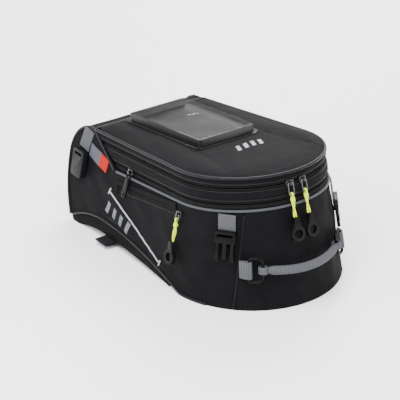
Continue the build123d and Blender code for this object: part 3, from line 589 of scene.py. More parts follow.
def colour_and_relief(tree, shader, tone, ends, colours, height, strength, depth, sunk=False):
    """Colours a shader between two ends of a tone, and raises or sinks its surface, depth millimetres at most."""
    ramp = add_node(tree, "ShaderNodeValToRGB", {}, {"Fac": tone})
    for element, position, colour in zip(ramp.color_ramp.elements, ends, colours):
        element.position, element.color = position, colour
    tree.links.new(ramp.outputs[0], shader.inputs["Base Color"])
    bump = add_node(tree, "ShaderNodeBump", {"invert": sunk}, {"Height": height, "Strength": strength,
                                                               "Distance": depth / 1000})
    tree.links.new(bump.outputs[0], shader.inputs["Normal"])


def woven(name, colour, pitch, depth, roughness, sheen, mottle=0.35):
    """Woven synthetic cloth: crossing threads that stand proud, uneven dye and a soft sheen from the filaments."""
    material, tree, shader = blank(name, Roughness=roughness, Sheen_Weight=sheen, Sheen_Roughness=0.5,
                                   Specular_IOR_Level=0.06)
    place = add_node(tree, "ShaderNodeTexCoord", {}, {})
    scaled = add_node(tree, "ShaderNodeMapping", {}, {"Vector": place.outputs["UV"], "Scale": (1000 / pitch,) * 3})
    across, along = [add_node(tree, "ShaderNodeTexWave", {"bands_direction": way}, {
        "Vector": scaled.outputs[0], "Scale": WAVE_STEP, "Distortion": 0.25, "Detail": 1.0, "Detail Scale": 1.5})
        for way in "XY"]
    threads = add_node(tree, "ShaderNodeMath", {"operation": "MULTIPLY"}, {0: across.outputs[1], 1: along.outputs[1]})
    dye = add_node(tree, "ShaderNodeTexNoise", {}, {"Vector": place.outputs["Object"], "Scale": 45.0, "Detail": 5.0,
                                                    "Roughness": 0.6})
    slub = add_node(tree, "ShaderNodeTexNoise", {}, {"Vector": place.outputs["Object"], "Scale": 420.0,
                                                     "Detail": 2.0})
    mixed = add_node(tree, "ShaderNodeMath", {"operation": "MULTIPLY_ADD"}, {
        0: slub.outputs[0], 1: 0.5, 2: dye.outputs[0]})
    lit = add_node(tree, "ShaderNodeMath", {"operation": "MULTIPLY_ADD"}, {
        0: threads.outputs[0], 1: 0.35, 2: mixed.outputs[0]})
    height = add_node(tree, "ShaderNodeMath", {"operation": "MULTIPLY_ADD"}, {
        0: slub.outputs[0], 1: 0.6, 2: threads.outputs[0]})
    colour_and_relief(tree, shader, lit.outputs[0], (0.45, 1.0),
                      (shade(colour, 1 - mottle), shade(colour, 1 + mottle)), height.outputs[0], 0.7, depth)
    return material


def ribbed(name, colour, pitch, depth, roughness, direction="X", place_by="UV", mottle=0.2):
    """Narrow fabric with ribs across it, such as webbing, grosgrain and braided cord."""
    material, tree, shader = blank(name, Roughness=roughness, Sheen_Weight=0.008, Specular_IOR_Level=0.12)
    place = add_node(tree, "ShaderNodeTexCoord", {}, {})
    scaled = add_node(tree, "ShaderNodeMapping", {}, {"Vector": place.outputs[place_by],
                                                      "Scale": (1000 / pitch,) * 3})
    ribs = add_node(tree, "ShaderNodeTexWave", {"bands_direction": direction}, {
        "Vector": scaled.outputs[0], "Scale": WAVE_STEP, "Distortion": 0.6, "Detail": 2.0, "Detail Scale": 2.0})
    fibre = add_node(tree, "ShaderNodeTexNoise", {}, {"Vector": place.outputs["Object"], "Scale": 700.0,
                                                      "Detail": 3.0})
    tone = add_node(tree, "ShaderNodeMath", {"operation": "MULTIPLY_ADD"}, {
        0: fibre.outputs[0], 1: 0.5, 2: ribs.outputs[1]})
    colour_and_relief(tree, shader, tone.outputs[0], (0.2, 1.0),
                      (shade(colour, (1 - mottle) ** 2), shade(colour, 1 + mottle)), tone.outputs[0], 0.8, depth)
    return material


def moulded(name, colour, grain, depth, roughness, metallic=0.0, coat=0.0, wear=0.25):
    """Moulded or coated hard surface: fine grain, faint mould marks and a roughness that varies a little."""
    material, tree, shader = blank(name, Metallic=metallic, Coat_Weight=coat, Coat_Roughness=0.25,
                                   Specular_IOR_Level=0.1)
    place = add_node(tree, "ShaderNodeTexCoord", {}, {})
    fine = add_node(tree, "ShaderNodeTexNoise", {}, {"Vector": place.outputs["Object"], "Scale": 1000 / grain,
                                                     "Detail": 3.0})
    broad = add_node(tree, "ShaderNodeTexNoise", {}, {"Vector": place.outputs["Object"], "Scale": 60.0,
                                                      "Detail": 4.0, "Roughness": 0.65})
    rough = add_node(tree, "ShaderNodeMapRange", {}, {
        "Value": broad.outputs[0], "From Min": 0.3, "From Max": 0.7, "To Min": max(0.02, roughness - 0.08),
        "To Max": roughness + 0.1})
    tree.links.new(rough.outputs[0], shader.inputs["Roughness"])
    colour_and_relief(tree, shader, broad.outputs[0], (0.3, 0.75),
                      (shade(colour, 1 - wear), shade(colour, 1 + wear)), fine.outputs[0], 0.6, depth)
    return material


def dimpled(name, colour, pitch, depth):
    """Soft anti-slip sheet: raised dots on a matt rubbery backing."""
    material, tree, shader = blank(name, Roughness=0.8, Specular_IOR_Level=0.08)
    place = add_node(tree, "ShaderNodeTexCoord", {}, {})
    dots = add_node(tree, "ShaderNodeTexVoronoi", {"feature": "F1"}, {
        "Vector": place.outputs["Object"], "Scale": 1000 / pitch, "Randomness": 0.1})
    colour_and_relief(tree, shader, dots.outputs["Distance"], (0.0, 0.45),
                      (shade(colour, 1.5), shade(colour, 0.7)), dots.outputs["Distance"], 0.8, depth, sunk=True)
    return material


def two_tone_label(name, grey, accent, split):
    """Woven satin label, grey with a coloured end past split metres along it."""
    material, tree, shader = blank(name, Roughness=0.55, Sheen_Weight=0.01, Specular_IOR_Level=0.1)
    place = add_node(tree, "ShaderNodeTexCoord", {}, {})
    apart = add_node(tree, "ShaderNodeSeparateXYZ", {}, {"Vector": place.outputs["UV"]})
    past = add_node(tree, "ShaderNodeMath", {"operation": "LESS_THAN"}, {0: apart.outputs[0], 1: split})
    scaled = add_node(tree, "ShaderNodeMapping", {}, {"Vector": place.outputs["UV"], "Scale": (1000.0,) * 3})
    rows = add_node(tree, "ShaderNodeTexWave", {"bands_direction": "Y"}, {
        "Vector": scaled.outputs[0], "Scale": WAVE_STEP, "Distortion": 0.3, "Detail": 1.0})
    colour = add_node(tree, "ShaderNodeMix", {"data_type": "RGBA"}, {0: past.outputs[0], 6: grey, 7: accent})
    shaded = add_node(tree, "ShaderNodeMix", {"data_type": "RGBA", "blend_type": "MULTIPLY"}, {
        0: 0.3, 6: colour.outputs[2], 7: rows.outputs[0]})
    tree.links.new(shaded.outputs[2], shader.inputs["Base Color"])
    bump = add_node(tree, "ShaderNodeBump", {}, {"Height": rows.outputs[1], "Strength": 0.5, "Distance": 0.0002})
    tree.links.new(bump.outputs[0], shader.inputs["Normal"])
    return material


def clear_film(name, colour):
    """Clear flexible PVC window: glossy, almost colourless, with slow ripples that break up its reflections."""
    material, tree, shader = blank(name, Roughness=0.06, Alpha=0.14, IOR=1.45)
    shader.inputs["Base Color"].default_value = colour
    place = add_node(tree, "ShaderNodeTexCoord", {}, {})
    ripple = add_node(tree, "ShaderNodeTexNoise", {}, {"Vector": place.outputs["Object"], "Scale": 26.0,
                                                       "Detail": 2.0, "Distortion": 0.8})
    bump = add_node(tree, "ShaderNodeBump", {}, {"Height": ripple.outputs[0], "Strength": 0.25, "Distance": 0.001})
    tree.links.new(bump.outputs[0], shader.inputs["Normal"])
    return material


FINISH = {}
LABEL_SPLIT = -4.0      # millimetres from the label's middle to where its colour changes


def make_finishes(colours):
    """Every finish of the bag."""
    FINISH.update({
        # 600 denier polyester, plain weave: a matt black with a faint grid; threads drawn at three times their spacing
        "shell": woven("polyester_600d_woven", colours.cloth, 1.6, 0.3, 0.74, sheen=0.004),
        # smooth dyed lining over foam: a plain dark grey inside
        "lining": woven("polyester_lining", linear("#18191B"), 1.2, 0.1, 0.7, sheen=0.02, mottle=0.2),
        # twisted satin bead, which catches the light along its crown
        "dark_piping": ribbed("satin_piping", linear("#131316"), 1.3, 0.09, 0.36),
        # grey reflective bead of glass microspheres: a clear pale line round the bag
        "bright_piping": ribbed("reflective_piping", linear("#3A3C40"), 1.6, 0.08, 0.36),
        # knitted tape: matt, with fine lines across it
        "zip_tape": ribbed("zip_tape_knitted", linear("#060607"), 1.6, 0.2, 0.7),
        # nylon coil, which glints tooth by tooth
        "teeth": moulded("nylon_coil", linear("#0A0A0B"), 1.0, 0.02, 0.34),
        # polyester webbing with broad ribs, dyed grey
        "webbing": ribbed("polyester_webbing", colours.webbing, 2.4, 0.4, 0.7),
        # the same webbing dyed black, for the strap that goes round the tank
        "dark_webbing": ribbed("polyester_webbing_black", linear("#121316"), 2.4, 0.4, 0.7),
        # braided cord with slanting strands, the brightest colour on the bag
        "cord": ribbed("braided_neon_cord", colours.cord, 1.6, 0.3, 0.6, "DIAGONAL"),
        # acetal buckles: near black, with soft highlights on their edges
        "plastic": moulded("acetal_black_moulded", linear("#050506"), 0.8, 0.03, 0.34),
        "grey_plastic": moulded("acetal_grey_moulded", linear("#101114"), 0.8, 0.03, 0.4),
        # matt rubber, which hardly reflects
        "rubber": moulded("rubber_moulded_matt", linear("#050506"), 0.6, 0.05, 0.52),
        # enamelled zinc: smooth and glossy black
        "metal": moulded("zinc_black_enamel", linear("#101012"), 1.5, 0.01, 0.26, coat=0.5),
        # blackened steel wire: dark metal with sharp glints
        "wire": moulded("steel_wire_blackened", linear("#55565A"), 1.2, 0.01, 0.3, metallic=0.9),
        # retroreflective print: a flat silver grey
        "reflective": moulded("retroreflective_print", colours.stripes, 0.5, 0.03, 0.4, metallic=0.25, wear=0.1),
        # the same print, scuffed and greyer on the large side bars
        "print": moulded("retroreflective_print_worn", linear("#5E6164"), 0.5, 0.03, 0.45, metallic=0.2, wear=0.2),
        # rubbery sheet with dots that grip the tank
        "pad": dimpled("anti_slip_rubber_sheet", linear("#0A0A0B"), 3.2, 0.6),
        # welded border round the window: smooth, a little shinier than the cloth
        "border": moulded("welded_film_border", linear("#08080A"), 2.0, 0.05, 0.34, coat=0.25),
        # clear PVC: reflections over the dark cloth under it
        "film": clear_film("clear_flexible_pvc", linear("#15171A")),
        # satin label, grey with a coloured end
        "label": two_tone_label("woven_satin_label", linear("#4B4C54"), colours.label, LABEL_SPLIT / 1000),
        # bonded nylon thread: dashes just lighter than the cloth
        "thread": ribbed("bonded_nylon_thread", linear("#0E0E10"), 0.8, 0.05, 0.5, place_by="Object"),
    })


# ---- Geometry Nodes: rows of teeth and stitches ----------------------------------------------------------------

def row_tree():
    """Repeats a small rounded bar along a line, standing on the line's 'outward' direction."""
    tree = bpy.data.node_groups.new("RowAlongLine", "GeometryNodeTree")
    face = tree.interface
    face.new_socket("Geometry", in_out="INPUT", socket_type="NodeSocketGeometry")
    for name, kind in (("Spacing", "NodeSocketFloat"), ("Bar Size", "NodeSocketVector"),
                       ("Material", "NodeSocketMaterial")):
        face.new_socket(name, in_out="INPUT", socket_type=kind)
    face.new_socket("Geometry", in_out="OUTPUT", socket_type="NodeSocketGeometry")
    given = add_node(tree, "NodeGroupInput", {}, {})
    curve = add_node(tree, "GeometryNodeMeshToCurve", {}, {"Mesh": given.outputs["Geometry"]})
    spaced = add_node(tree, "GeometryNodeResampleCurve", {"mode": "LENGTH"}, {
        "Curve": curve.outputs[0], "Length": given.outputs["Spacing"]})
    along = add_node(tree, "GeometryNodeInputTangent", {}, {})
    outward = add_node(tree, "GeometryNodeInputNamedAttribute", {"data_type": "FLOAT_VECTOR"}, {"Name": "outward"})
    turn = add_node(tree, "FunctionNodeAlignRotationToVector", {"axis": "Z"}, {"Vector": outward.outputs[0]})
    turn = add_node(tree, "FunctionNodeAlignRotationToVector", {"axis": "X", "pivot_axis": "Z"}, {
        "Rotation": turn.outputs[0], "Vector": along.outputs[0]})
    block = add_node(tree, "GeometryNodeMeshCube", {}, {"Size": (1.15, 1.15, 1.15)})
    rounded = add_node(tree, "GeometryNodeSubdivisionSurface", {}, {"Mesh": block.outputs[0], "Level": 1})
    stood = add_node(tree, "GeometryNodeInstanceOnPoints", {}, {
        "Points": spaced.outputs[0], "Instance": rounded.outputs[0], "Rotation": turn.outputs[0],
        "Scale": given.outputs["Bar Size"]})
    real = add_node(tree, "GeometryNodeRealizeInstances", {}, {0: stood.outputs[0]})
    painted = add_node(tree, "GeometryNodeSetMaterial", {}, {
        "Geometry": real.outputs[0], "Material": given.outputs["Material"]})
    add_node(tree, "NodeGroupOutput", {}, {0: painted.outputs[0]})
    return tree


def row(name, path, outward, spacing, bar, finish):
    """A row of bars along a path, bar being (along, across, high) in millimetres."""
    tree = bpy.data.node_groups.get("RowAlongLine") or row_tree()
    mesh = bpy.data.meshes.new(name)
    points = [tuple(p) for p in to_scene(path)]
    mesh.from_pydata(points, [(k, k + 1) for k in range(len(points) - 1)], [])
    attribute = mesh.attributes.new("outward", "FLOAT_VECTOR", "POINT")
    attribute.data.foreach_set("vector", np.asarray(outward, np.float32).ravel())
    line = bpy.data.objects.new(name + "_line", mesh)
    bpy.context.scene.collection.objects.link(line)
    modifier = line.modifiers.new("Row", "NODES")
    modifier.node_group = tree
    identifiers = {item.name: item.identifier for item in tree.interface.items_tree if item.in_out == "INPUT"}
    modifier[identifiers["Spacing"]] = spacing / 1000
    modifier[identifiers["Bar Size"]] = [size / 1000 for size in bar]
    modifier[identifiers["Material"]] = finish
    shown = line.evaluated_get(bpy.context.evaluated_depsgraph_get())
    result = bpy.data.meshes.new_from_object(shown)
    result.name = name
    bpy.data.objects.remove(line)
    bpy.data.meshes.remove(mesh)
    made = bpy.data.objects.new(name, result)
    bpy.context.scene.collection.objects.link(made)
    result.shade_smooth()
    return made


def outward_of(path, centre=(0.0, -30.0)):
    """Level directions away from the bag's middle, square to a path round it."""
    path = np.asarray(path, float)
    forward = np.gradient(path, axis=0)
    side = np.column_stack((forward[:, 1], -forward[:, 0], np.zeros(len(path))))
    side /= np.maximum(np.linalg.norm(side, axis=1, keepdims=True), 1e-9)
    away = path[:, :2] - centre
    flip = np.where((side[:, :2] * away).sum(axis=1) < 0, -1.0, 1.0)
    return side * flip[:, None]


# ---- Settings a user may change ---------------------------------------------------------------------------------

class TankBagSizes(bpy.types.PropertyGroup):
    """Sizes of the visible details."""

    wall_puff: FloatProperty(name="Wall Puff", description="How far the padded walls may swell between their seams",
                             default=0.0045, min=0.0, max=0.01, unit="LENGTH")
    lid_puff: FloatProperty(name="Lid Puff", description="How far the lid may swell between its seams",
                            default=0.004, min=0.0, max=0.01, unit="LENGTH")
    tooth_pitch: FloatProperty(name="Tooth Pitch", description="Spacing of the zip teeth", default=0.0026,
                               min=0.0015, max=0.005, unit="LENGTH")
    stitch_pitch: FloatProperty(name="Stitch Pitch", description="Spacing of the stitches", default=0.0046,
                                min=0.002, max=0.008, unit="LENGTH")
    piping_radius: FloatProperty(name="Piping Radius", description="Radius of the piping beads", default=0.0017,
                                 min=0.0008, max=0.003, unit="LENGTH")


def colour_property(name, description, code):
    """A colour the user may change, with an sRGB default."""
    return FloatVectorProperty(name=name, description=description, subtype="COLOR", size=4, min=0.0, max=1.0,
                               default=linear(code))


class TankBagColours(bpy.types.PropertyGroup):
    """Colours of the cloth and its trim."""

    cloth: colour_property("Cloth", "Colour of the woven polyester", "#09090B")
    webbing: colour_property("Webbing", "Colour of the straps and the handle", "#444549")
    cord: colour_property("Cords", "Colour of the pull cords", "#C9DB1E")
    stripes: colour_property("Stripes", "Colour of the reflective stripes", "#8C8F92")
    label: colour_property("Label", "Colour of the label's bright end", "#A00D05")


class TankBagLights(bpy.types.PropertyGroup):
    """Floor and lights."""

    floor: FloatVectorProperty(name="Floor", description="Colour of the studio floor", subtype="COLOR", size=3,
                               default=(0.96, 0.96, 0.96), min=0.0, max=1.0)
    brightness: FloatProperty(name="Brightness", description="Power of the main light in watts", default=60.0,
                              min=0.0, max=400.0)


# ---- Operators ---------------------------------------------------------------------------------------------------

WORLD_STRENGTH = 1.15
FLOOR_REACH, FLOOR_GAP = 6.0, 0.0004        # metres; the gap keeps the floor off the bag's underside
CAMERA_TARGET, CAMERA_DISTANCE, PICTURE_WIDTH = Vector((-0.0014, 0.0322, 0.0517)), 3.0, 0.5076
CAMERA_BACK, CAMERA_RIGHT = Vector((-0.5283, -0.7271, 0.4384)), Vector((0.8090, -0.5878, 0.0))
LAMPS = (   # name, place, size across, and share of the main light's power
    ("key", (-0.7, -0.5, 1.5), 1.1, 1.0),
    ("rim", (0.9, 0.9, 1.2), 0.9, 0.8),
    ("side", (-1.5, 0.6, 0.7), 0.9, 0.35),
    ("rear", (0.9, -1.5, 0.6), 0.9, 0.3),
)


class TANKBAG_OT_stage(bpy.types.Operator):
    """Floor, soft lights and the camera"""

    bl_idname = "tankbag.stage"
    bl_label = "Stage"

    def execute(self, context):
        scene = context.scene
        lights = scene.tank_bag_lights
        world = bpy.data.worlds.new("studio")
        world.use_nodes = True
        light, strength = world.node_tree.nodes["Background"].inputs[:2]
        light.default_value, strength.default_value = (1, 1, 1, 1), WORLD_STRENGTH
        scene.world = world
        floor = bpy.data.meshes.new("floor")
        floor.from_pydata([(x * FLOOR_REACH, y * FLOOR_REACH, 0) for x, y in ((-1, -1), (1, -1), (1, 1), (-1, 1))],
                          [], [(0, 1, 2, 3)])
        ground = bpy.data.objects.new("floor", floor)
        ground.location.z = -FLOOR_GAP
        paint, _, shader = blank("studio_floor", Roughness=0.7)
        shader.inputs["Base Color"].default_value = (*lights.floor, 1)
        floor.materials.append(paint)
        scene.collection.objects.link(ground)
        above = CAMERA_BACK.cross(CAMERA_RIGHT)
        camera = bpy.data.cameras.new("camera")
        camera.lens = camera.sensor_width * CAMERA_DISTANCE / PICTURE_WIDTH
        camera.clip_end = 50
        viewer = bpy.data.objects.new("camera", camera)
        viewer.matrix_world = Matrix.Translation(CAMERA_TARGET + CAMERA_BACK * CAMERA_DISTANCE) @ Matrix(
            (CAMERA_RIGHT, above, CAMERA_BACK)).transposed().to_4x4()
        scene.collection.objects.link(viewer)
        scene.camera = viewer
        for name, spot, size, share in LAMPS:
            lamp = bpy.data.lights.new(name, "AREA")
            lamp.energy = lights.brightness * share
            lamp.size = size
            holder = bpy.data.objects.new(name, lamp)
            holder.location = spot
            holder.rotation_mode = "QUATERNION"
            holder.rotation_quaternion = (-Vector(spot)).to_track_quat("-Z", "Y")
            scene.collection.objects.link(holder)
        return {"FINISHED"}


def creases(flat, along, across, turn, amount, seed):
    """Long soft folds of cloth: unevenness stretched along one direction of a plane."""
    c, s = math.cos(math.radians(turn)), math.sin(math.radians(turn))
    p = (flat[..., 0] * c + flat[..., 1] * s) / along
    q = (flat[..., 1] * c - flat[..., 0] * s) / across
    return wobble(np.stack((p, q, np.full(p.shape, seed)), axis=-1), 1.0, amount)


def puckers(flat, a, b, wave, reach, amount):
    """Short gathers that a sewn line from a to b leaves in the cloth beside it."""
    a, b = np.asarray(a, float), np.asarray(b, float)
    run = (flat - a) @ (b - a) / np.linalg.norm(b - a)
    gap = line_distance(flat, a, b)
    uneven = wobble(np.stack((run / 19, np.zeros(run.shape), gap / 40), axis=-1), 1.0, 2.4)
    return amount * np.sin(2 * math.pi * run / wave + uneven) * np.exp(-gap / reach) * np.clip(gap / 2.5, 0, 1)


def cushion(name, outer, inner, body, nodes, outside="shell"):
    """A lined, padded piece between two grids, standing for its CAD nodes."""
    made = subdivide(slab(name, outer, inner, FINISH[outside], FINISH["lining"]))
    return finish_piece(made, body, FINISH[outside], nodes)


SIDE_COLUMNS, SIDE_ROWS = 112, 46
REAR_COLUMNS, REAR_ROWS = 66, 42
FRONT_COLUMNS, FRONT_ROWS = 44, 46
EDGE_INSET = 0.4                            # the side walls stop this far inside the front edge's bead
BUCKLE_PATCH = ((158, 122), (158, 72))      # where the front buckles hang, which stays flat


class TANKBAG_OT_walls(bpy.types.Operator):
    """Padded side, rear and front walls of the lower body"""

    bl_idname = "tankbag.walls"
    bl_label = "Walls"

    def side_grid(self):
        """Y and Z of the left wall's grid."""
        z = np.linspace(0, level_z(-150, TOP_W), SIDE_ROWS)
        for _ in range(3):
            seam = rear_point(seam_angle(z), z)
            z = np.linspace(0, level_z(seam[-1, 1], TOP_W), SIDE_ROWS)
        start = np.column_stack((seam[:, 1], z))
        y = np.linspace(seam[0, 1], front_profile(EDGE_INSET)[0, 0], SIDE_COLUMNS)
        low = np.column_stack((y, arch_z(y)))
        y = np.linspace(seam[-1, 1], HINGE_Y, SIDE_COLUMNS)
        climb = level_z(BAND_END_Y, TOP_W)
        rise = climb + (y - BAND_END_Y) / (HINGE_Y - BAND_END_Y) * (HINGE_Z - 1.0 - climb)
        high = np.column_stack((y, np.where(y > BAND_END_Y, rise, level_z(y, TOP_W))))
        end = front_profile(EDGE_INSET, SIDE_ROWS)
        low[-1], high[-1] = end[0], end[-1]
        return patch(low, high, start, end)

    def side_walls(self, puff):
        """Left wall, held along its seams, pocket and buckle patch, and its mirror image on the right."""
        flat = self.side_grid()
        y, z = flat[..., 0], flat[..., 1]
        outer = np.stack((-wall_x(y, z), y, z), axis=-1)
        inner = np.stack((-wall_x(y, z, -WALL), y, z), axis=-1)
        held = rim_held(y.shape)
        for (a, b), reach in (((POCKET_FRONT, POCKET_REAR), 7.0), ((SEAM_TOP, SEAM_FOOT), 2.2), (BUCKLE_PATCH, 12.0)):
            held |= line_distance(flat, a, b) < reach
        outer = swell(outer, held, 5.0, puff)
        rim = np.minimum.reduce([line_distance(flat, a, b) for a, b in (
            (flat[0, 0], flat[0, -1]), (flat[-1, 0], flat[-1, -1]), (POCKET_FRONT, POCKET_REAR),
            (SEAM_TOP, SEAM_FOOT))])
        relief = creases(flat, 62.0, 21.0, 32.0, 2.1, 2.0) + creases(flat, 26.0, 15.0, -20.0, 0.8, 7.0)
        relief *= np.clip(rim / 14, 0, 1) * rim_fade(SIDE_ROWS, 5)
        relief += puckers(flat, SEAM_TOP, SEAM_FOOT, 15.0, 7.0, 0.55)
        relief += puckers(flat, flat[0, 2], flat[0, -2], 17.0, 8.0, 0.5)
        outer[..., 0] -= relief - 0.3
        for side, name in ((1, "left"), (-1, "right")):
            flip = np.array((side, 1, 1))
            cushion(f"side_wall_{name}", outer * flip, inner * flip, "body",
                    (f"side_panel_{name}", f"side_foam_{name}"))

    def rear_wall(self, puff):
        """Round rear wall between the two seams, flat where the handle's rings are sewn on."""
        u = np.linspace(-1, 1, REAR_COLUMNS).reshape(-1, 1)
        z = np.full((REAR_COLUMNS, REAR_ROWS), 60.0)
        for _ in range(4):
            angle = -u * seam_angle(z)
            z = np.linspace(0, 1, REAR_ROWS) * level_z(rear_point(angle, z)[..., 1], TOP_W)
        held = rim_held(z.shape) | ((np.abs(np.abs(angle) - 38.0) < 7.0) & (np.abs(z - RING_Z) < 16.0))
        outer = swell(rear_point(angle, z), held, 5.0, puff * 0.8)
        flat = np.stack((-np.radians(angle) * 105, z), axis=-1)
        fade = rim_fade(REAR_COLUMNS, 6)[:, None] * rim_fade(REAR_ROWS, 6) * ~held
        relief = (creases(flat, 55.0, 24.0, 74.0, 1.8, 4.0) + creases(flat, 30.0, 16.0, 10.0, 0.5, 9.0)) * fade
        for end in (0, -1):
            relief += puckers(flat, flat[end, 2], flat[end, -2], 14.0, 7.0, 0.5)
        away = np.stack((-np.sin(np.radians(angle)), -np.cos(np.radians(angle)), 0 * z), axis=-1)
        outer = outer + away * (relief - 0.2)[..., None]
        cushion("rear_wall", outer, rear_point(angle, z, -WALL), "body", ("rear_panel", "rear_foam"))

    def front_wall(self, puff):
        """Front face and its rounding up to the hinge, puffed only a little."""
        u = np.linspace(-1, 1, FRONT_COLUMNS).reshape(-1, 1)
        grids = []
        for inset in (0.0, WALL):
            y, z = front_profile(inset, FRONT_ROWS).T
            x = u * (wall_x(y, z) - 0.2)
            grids.append(np.stack(np.broadcast_arrays(x, y, z), axis=-1))
        outer, inner = grids
        flat = np.stack(np.broadcast_arrays(outer[..., 0], np.arange(FRONT_ROWS) * 3.6), axis=-1)
        outer = swell(outer, rim_held(outer.shape[:2]), 4.0, puff * 0.5)
        fade = rim_fade(FRONT_COLUMNS, 5)[:, None] * rim_fade(FRONT_ROWS, 5)
        outer[..., 1] += (creases(flat, 70.0, 26.0, 8.0, 1.7, 12.0) - 0.3) * fade
        cushion("front_wall", outer, inner, "body", ("front_panel", "front_foam"))

    def execute(self, context):
        puff = context.scene.tank_bag_sizes.wall_puff * 1000
        self.side_walls(puff)
        self.rear_wall(puff)
        self.front_wall(puff)
        return {"FINISHED"}


def plan_grid(line, corner, columns, rows):
    """A grid inside a closed plan outline, whose four corners are the given shares of its length."""
    cuts = [int(round(share * (len(line) - 1))) for share in corner]
    start = even(line[cuts[0]:cuts[1] + 1][::-1], rows)
    low = even(line[cuts[1]:cuts[2] + 1], columns)
    end = even(line[cuts[2]:cuts[3] + 1], rows)
    high = even(np.vstack((line[cuts[3]:], line[:cuts[0] + 1])), columns)[::-1]
    return patch(low, high, start, end)


QUILT = 36.0    # millimetres between the floor's quilting lines, measured along the bag


class TANKBAG_OT_base(bpy.types.Operator):
    """Anti-slip pad underneath and the padded floor inside"""

    bl_idname = "tankbag.base"
    bl_label = "Base"

    def execute(self, context):
        outline = body_outline(np.zeros(OUTLINE_POINTS), -6.2)
        outline = outline[outline[:, 1] < FOOT_Y - 3.0]
        line = even(np.vstack((outline, outline[:1])), 721)
        open_share = 1 + 2 * outline[0, 0] / run_along(line)[-1]
        side = open_share * 0.36
        grid = plan_grid(line, (0.0, side, open_share - side, open_share), 40, 60)
        x, y = grid[..., 0], grid[..., 1]
        z = arch_z(y) + 8.2
        quilt = 0.6 * np.abs(np.sin(math.pi * (x + y) / QUILT)) * np.abs(np.sin(math.pi * (x - y) / QUILT))
        cushion("quilted_floor", np.stack((x, y, z + quilt), axis=-1), np.stack((x, y, z - 5.6), axis=-1), "body",
                ("base_floor",), "lining")
        polished("base_pad", FINISH["pad"], 0.8)
        return {"FINISHED"}


LID_CORNER = 18.0   # radius of the lid's front corners


class TANKBAG_OT_lid(bpy.types.Operator):
    """Padded lid with its darts"""

    bl_idname = "tankbag.lid"
    bl_label = "Lid"

    def execute(self, context):
        puff = context.scene.tank_bag_sizes.lid_puff * 1000
        outline = u_line(LID_HALF, HINGE_V, LID_RADIUS, LID_REAR + LID_RADIUS)
        half, front, corner = LID_HALF, HINGE_V - 0.4, LID_CORNER
        outline = outline[outline[:, 1] < front - corner]
        turns = np.linspace(0, math.pi / 2, 12)
        curve = np.column_stack((half - corner + corner * np.cos(turns), front - corner + corner * np.sin(turns)))
        line = np.vstack((curve[::-1] * (-1, 1), outline, curve))
        closed = even(np.vstack((line, line[:1])), 901)
        total = run_along(closed)[-1]
        front_share = 2 * (half - corner) / total
        quarter = corner * math.pi / 4 / total
        side = (1 - front_share) * 0.35
        grid = plan_grid(closed, (quarter, side, 1 - front_share - side, 1 - front_share - quarter), 64, 96)
        x, v = grid[..., 0], grid[..., 1]
        gap = np.full(x.shape, 1000.0)
        for a, b in zip(closed[:-1:6], closed[6::6]):
            gap = np.minimum(gap, line_distance(grid, a, b))
        share = np.clip(gap / CROWN_INSET, 0, 1)
        outer = on_lid(x, v, LID_CROWN * np.sin(share * math.pi / 2))
        held = gap < 0.5
        darts = [np.array(DARTS) * (side_x, 1) for side_x in (-1, 1)]
        for a, b in darts:
            dart = line_distance(grid, a, b)
            outer[..., 2] -= 0.9 * np.exp(-(dart / 1.8) ** 2)
            held |= dart < 1.6
        held |= (np.abs(x) < WINDOW_HALF + 2) & (v > WINDOW_REAR - 2) & (v < WINDOW_FRONT + 2)
        outer = swell(outer, held, 4.0, puff)
        plan = np.stack((x, v), axis=-1)
        loose = np.clip(gap / 14, 0, 1) * ~held
        relief = (creases(plan, 60.0, 24.0, 65.0, 1.5, 3.0) + creases(plan, 28.0, 16.0, -30.0, 0.4, 8.0)) * loose
        for a, b in darts:
            relief += puckers(plan, a, b, 13.0, 6.0, 0.5)
        outer[..., 2] += relief
        cushion("lid_cushion", outer, on_lid(x * 0.972, v * 0.985, -5.2), "lid", ("lid_cover", "lid_foam"))
        return {"FINISHED"}


def tape(top, bottom):
    """Section of a plain zip tape between two levels."""
    return (top, -2.0), (top, -0.6), (bottom, -0.6), (bottom, -2.0)


BANDS = (   # piece, body, finish, material slot, CAD node, section of (level, out), unevenness
    ("lid_skirt_band", "lid", "shell", "shell", "lid_skirt",
     ((-0.3, -2.3), (-0.3, -0.2), (-2.6, 0.5), (-5.6, 1.0), (-8.4, 0.6), (-9.8, -0.2), (-9.9, -2.3)), 0.6),
    ("collar_cloth_band", "collar", "shell", "shell", "collar_band",
     ((-18.2, -2.3), (-18.2, -0.2), (-20.6, 0.8), (-24.0, 1.3), (-27.4, 0.8), (-29.8, -0.2), (-29.8, -2.3)), 0.7),
    ("main_tape_upper", "lid", "zip_tape", "zip", "main_zip_upper", tape(-8.8, -13.3), 0.0),
    ("main_tape_lower", "collar", "zip_tape", "zip", "main_zip_lower", tape(-14.7, -19.4), 0.0),
    ("expander_tape_upper", "collar", "zip_tape", "zip", "expander_zip_upper", tape(-28.6, -33.3), 0.0),
    ("expander_tape_lower", "body", "zip_tape", "zip", "expander_zip_lower",
     ((-34.7, -2.0), (-34.7, -0.6), (-38.2, -0.4), (-42.4, -0.8), (-42.4, -2.0)), 0.0),
)
BAND_BEADS = (("skirt_hem_bead", "lid", -9.4), ("collar_top_bead", "collar", -18.6),
              ("collar_hem_bead", "collar", -29.4))
# back from the hinge and up from it, along the strip of cloth that folds there
HINGE_FOLD = ((-0.7, -0.6), (-0.6, 0.6), (-1.0, 1.7), (-2.0, 2.4), (-3.6, 2.7), (-5.2, 2.7))
FOLD_COLUMNS = 44


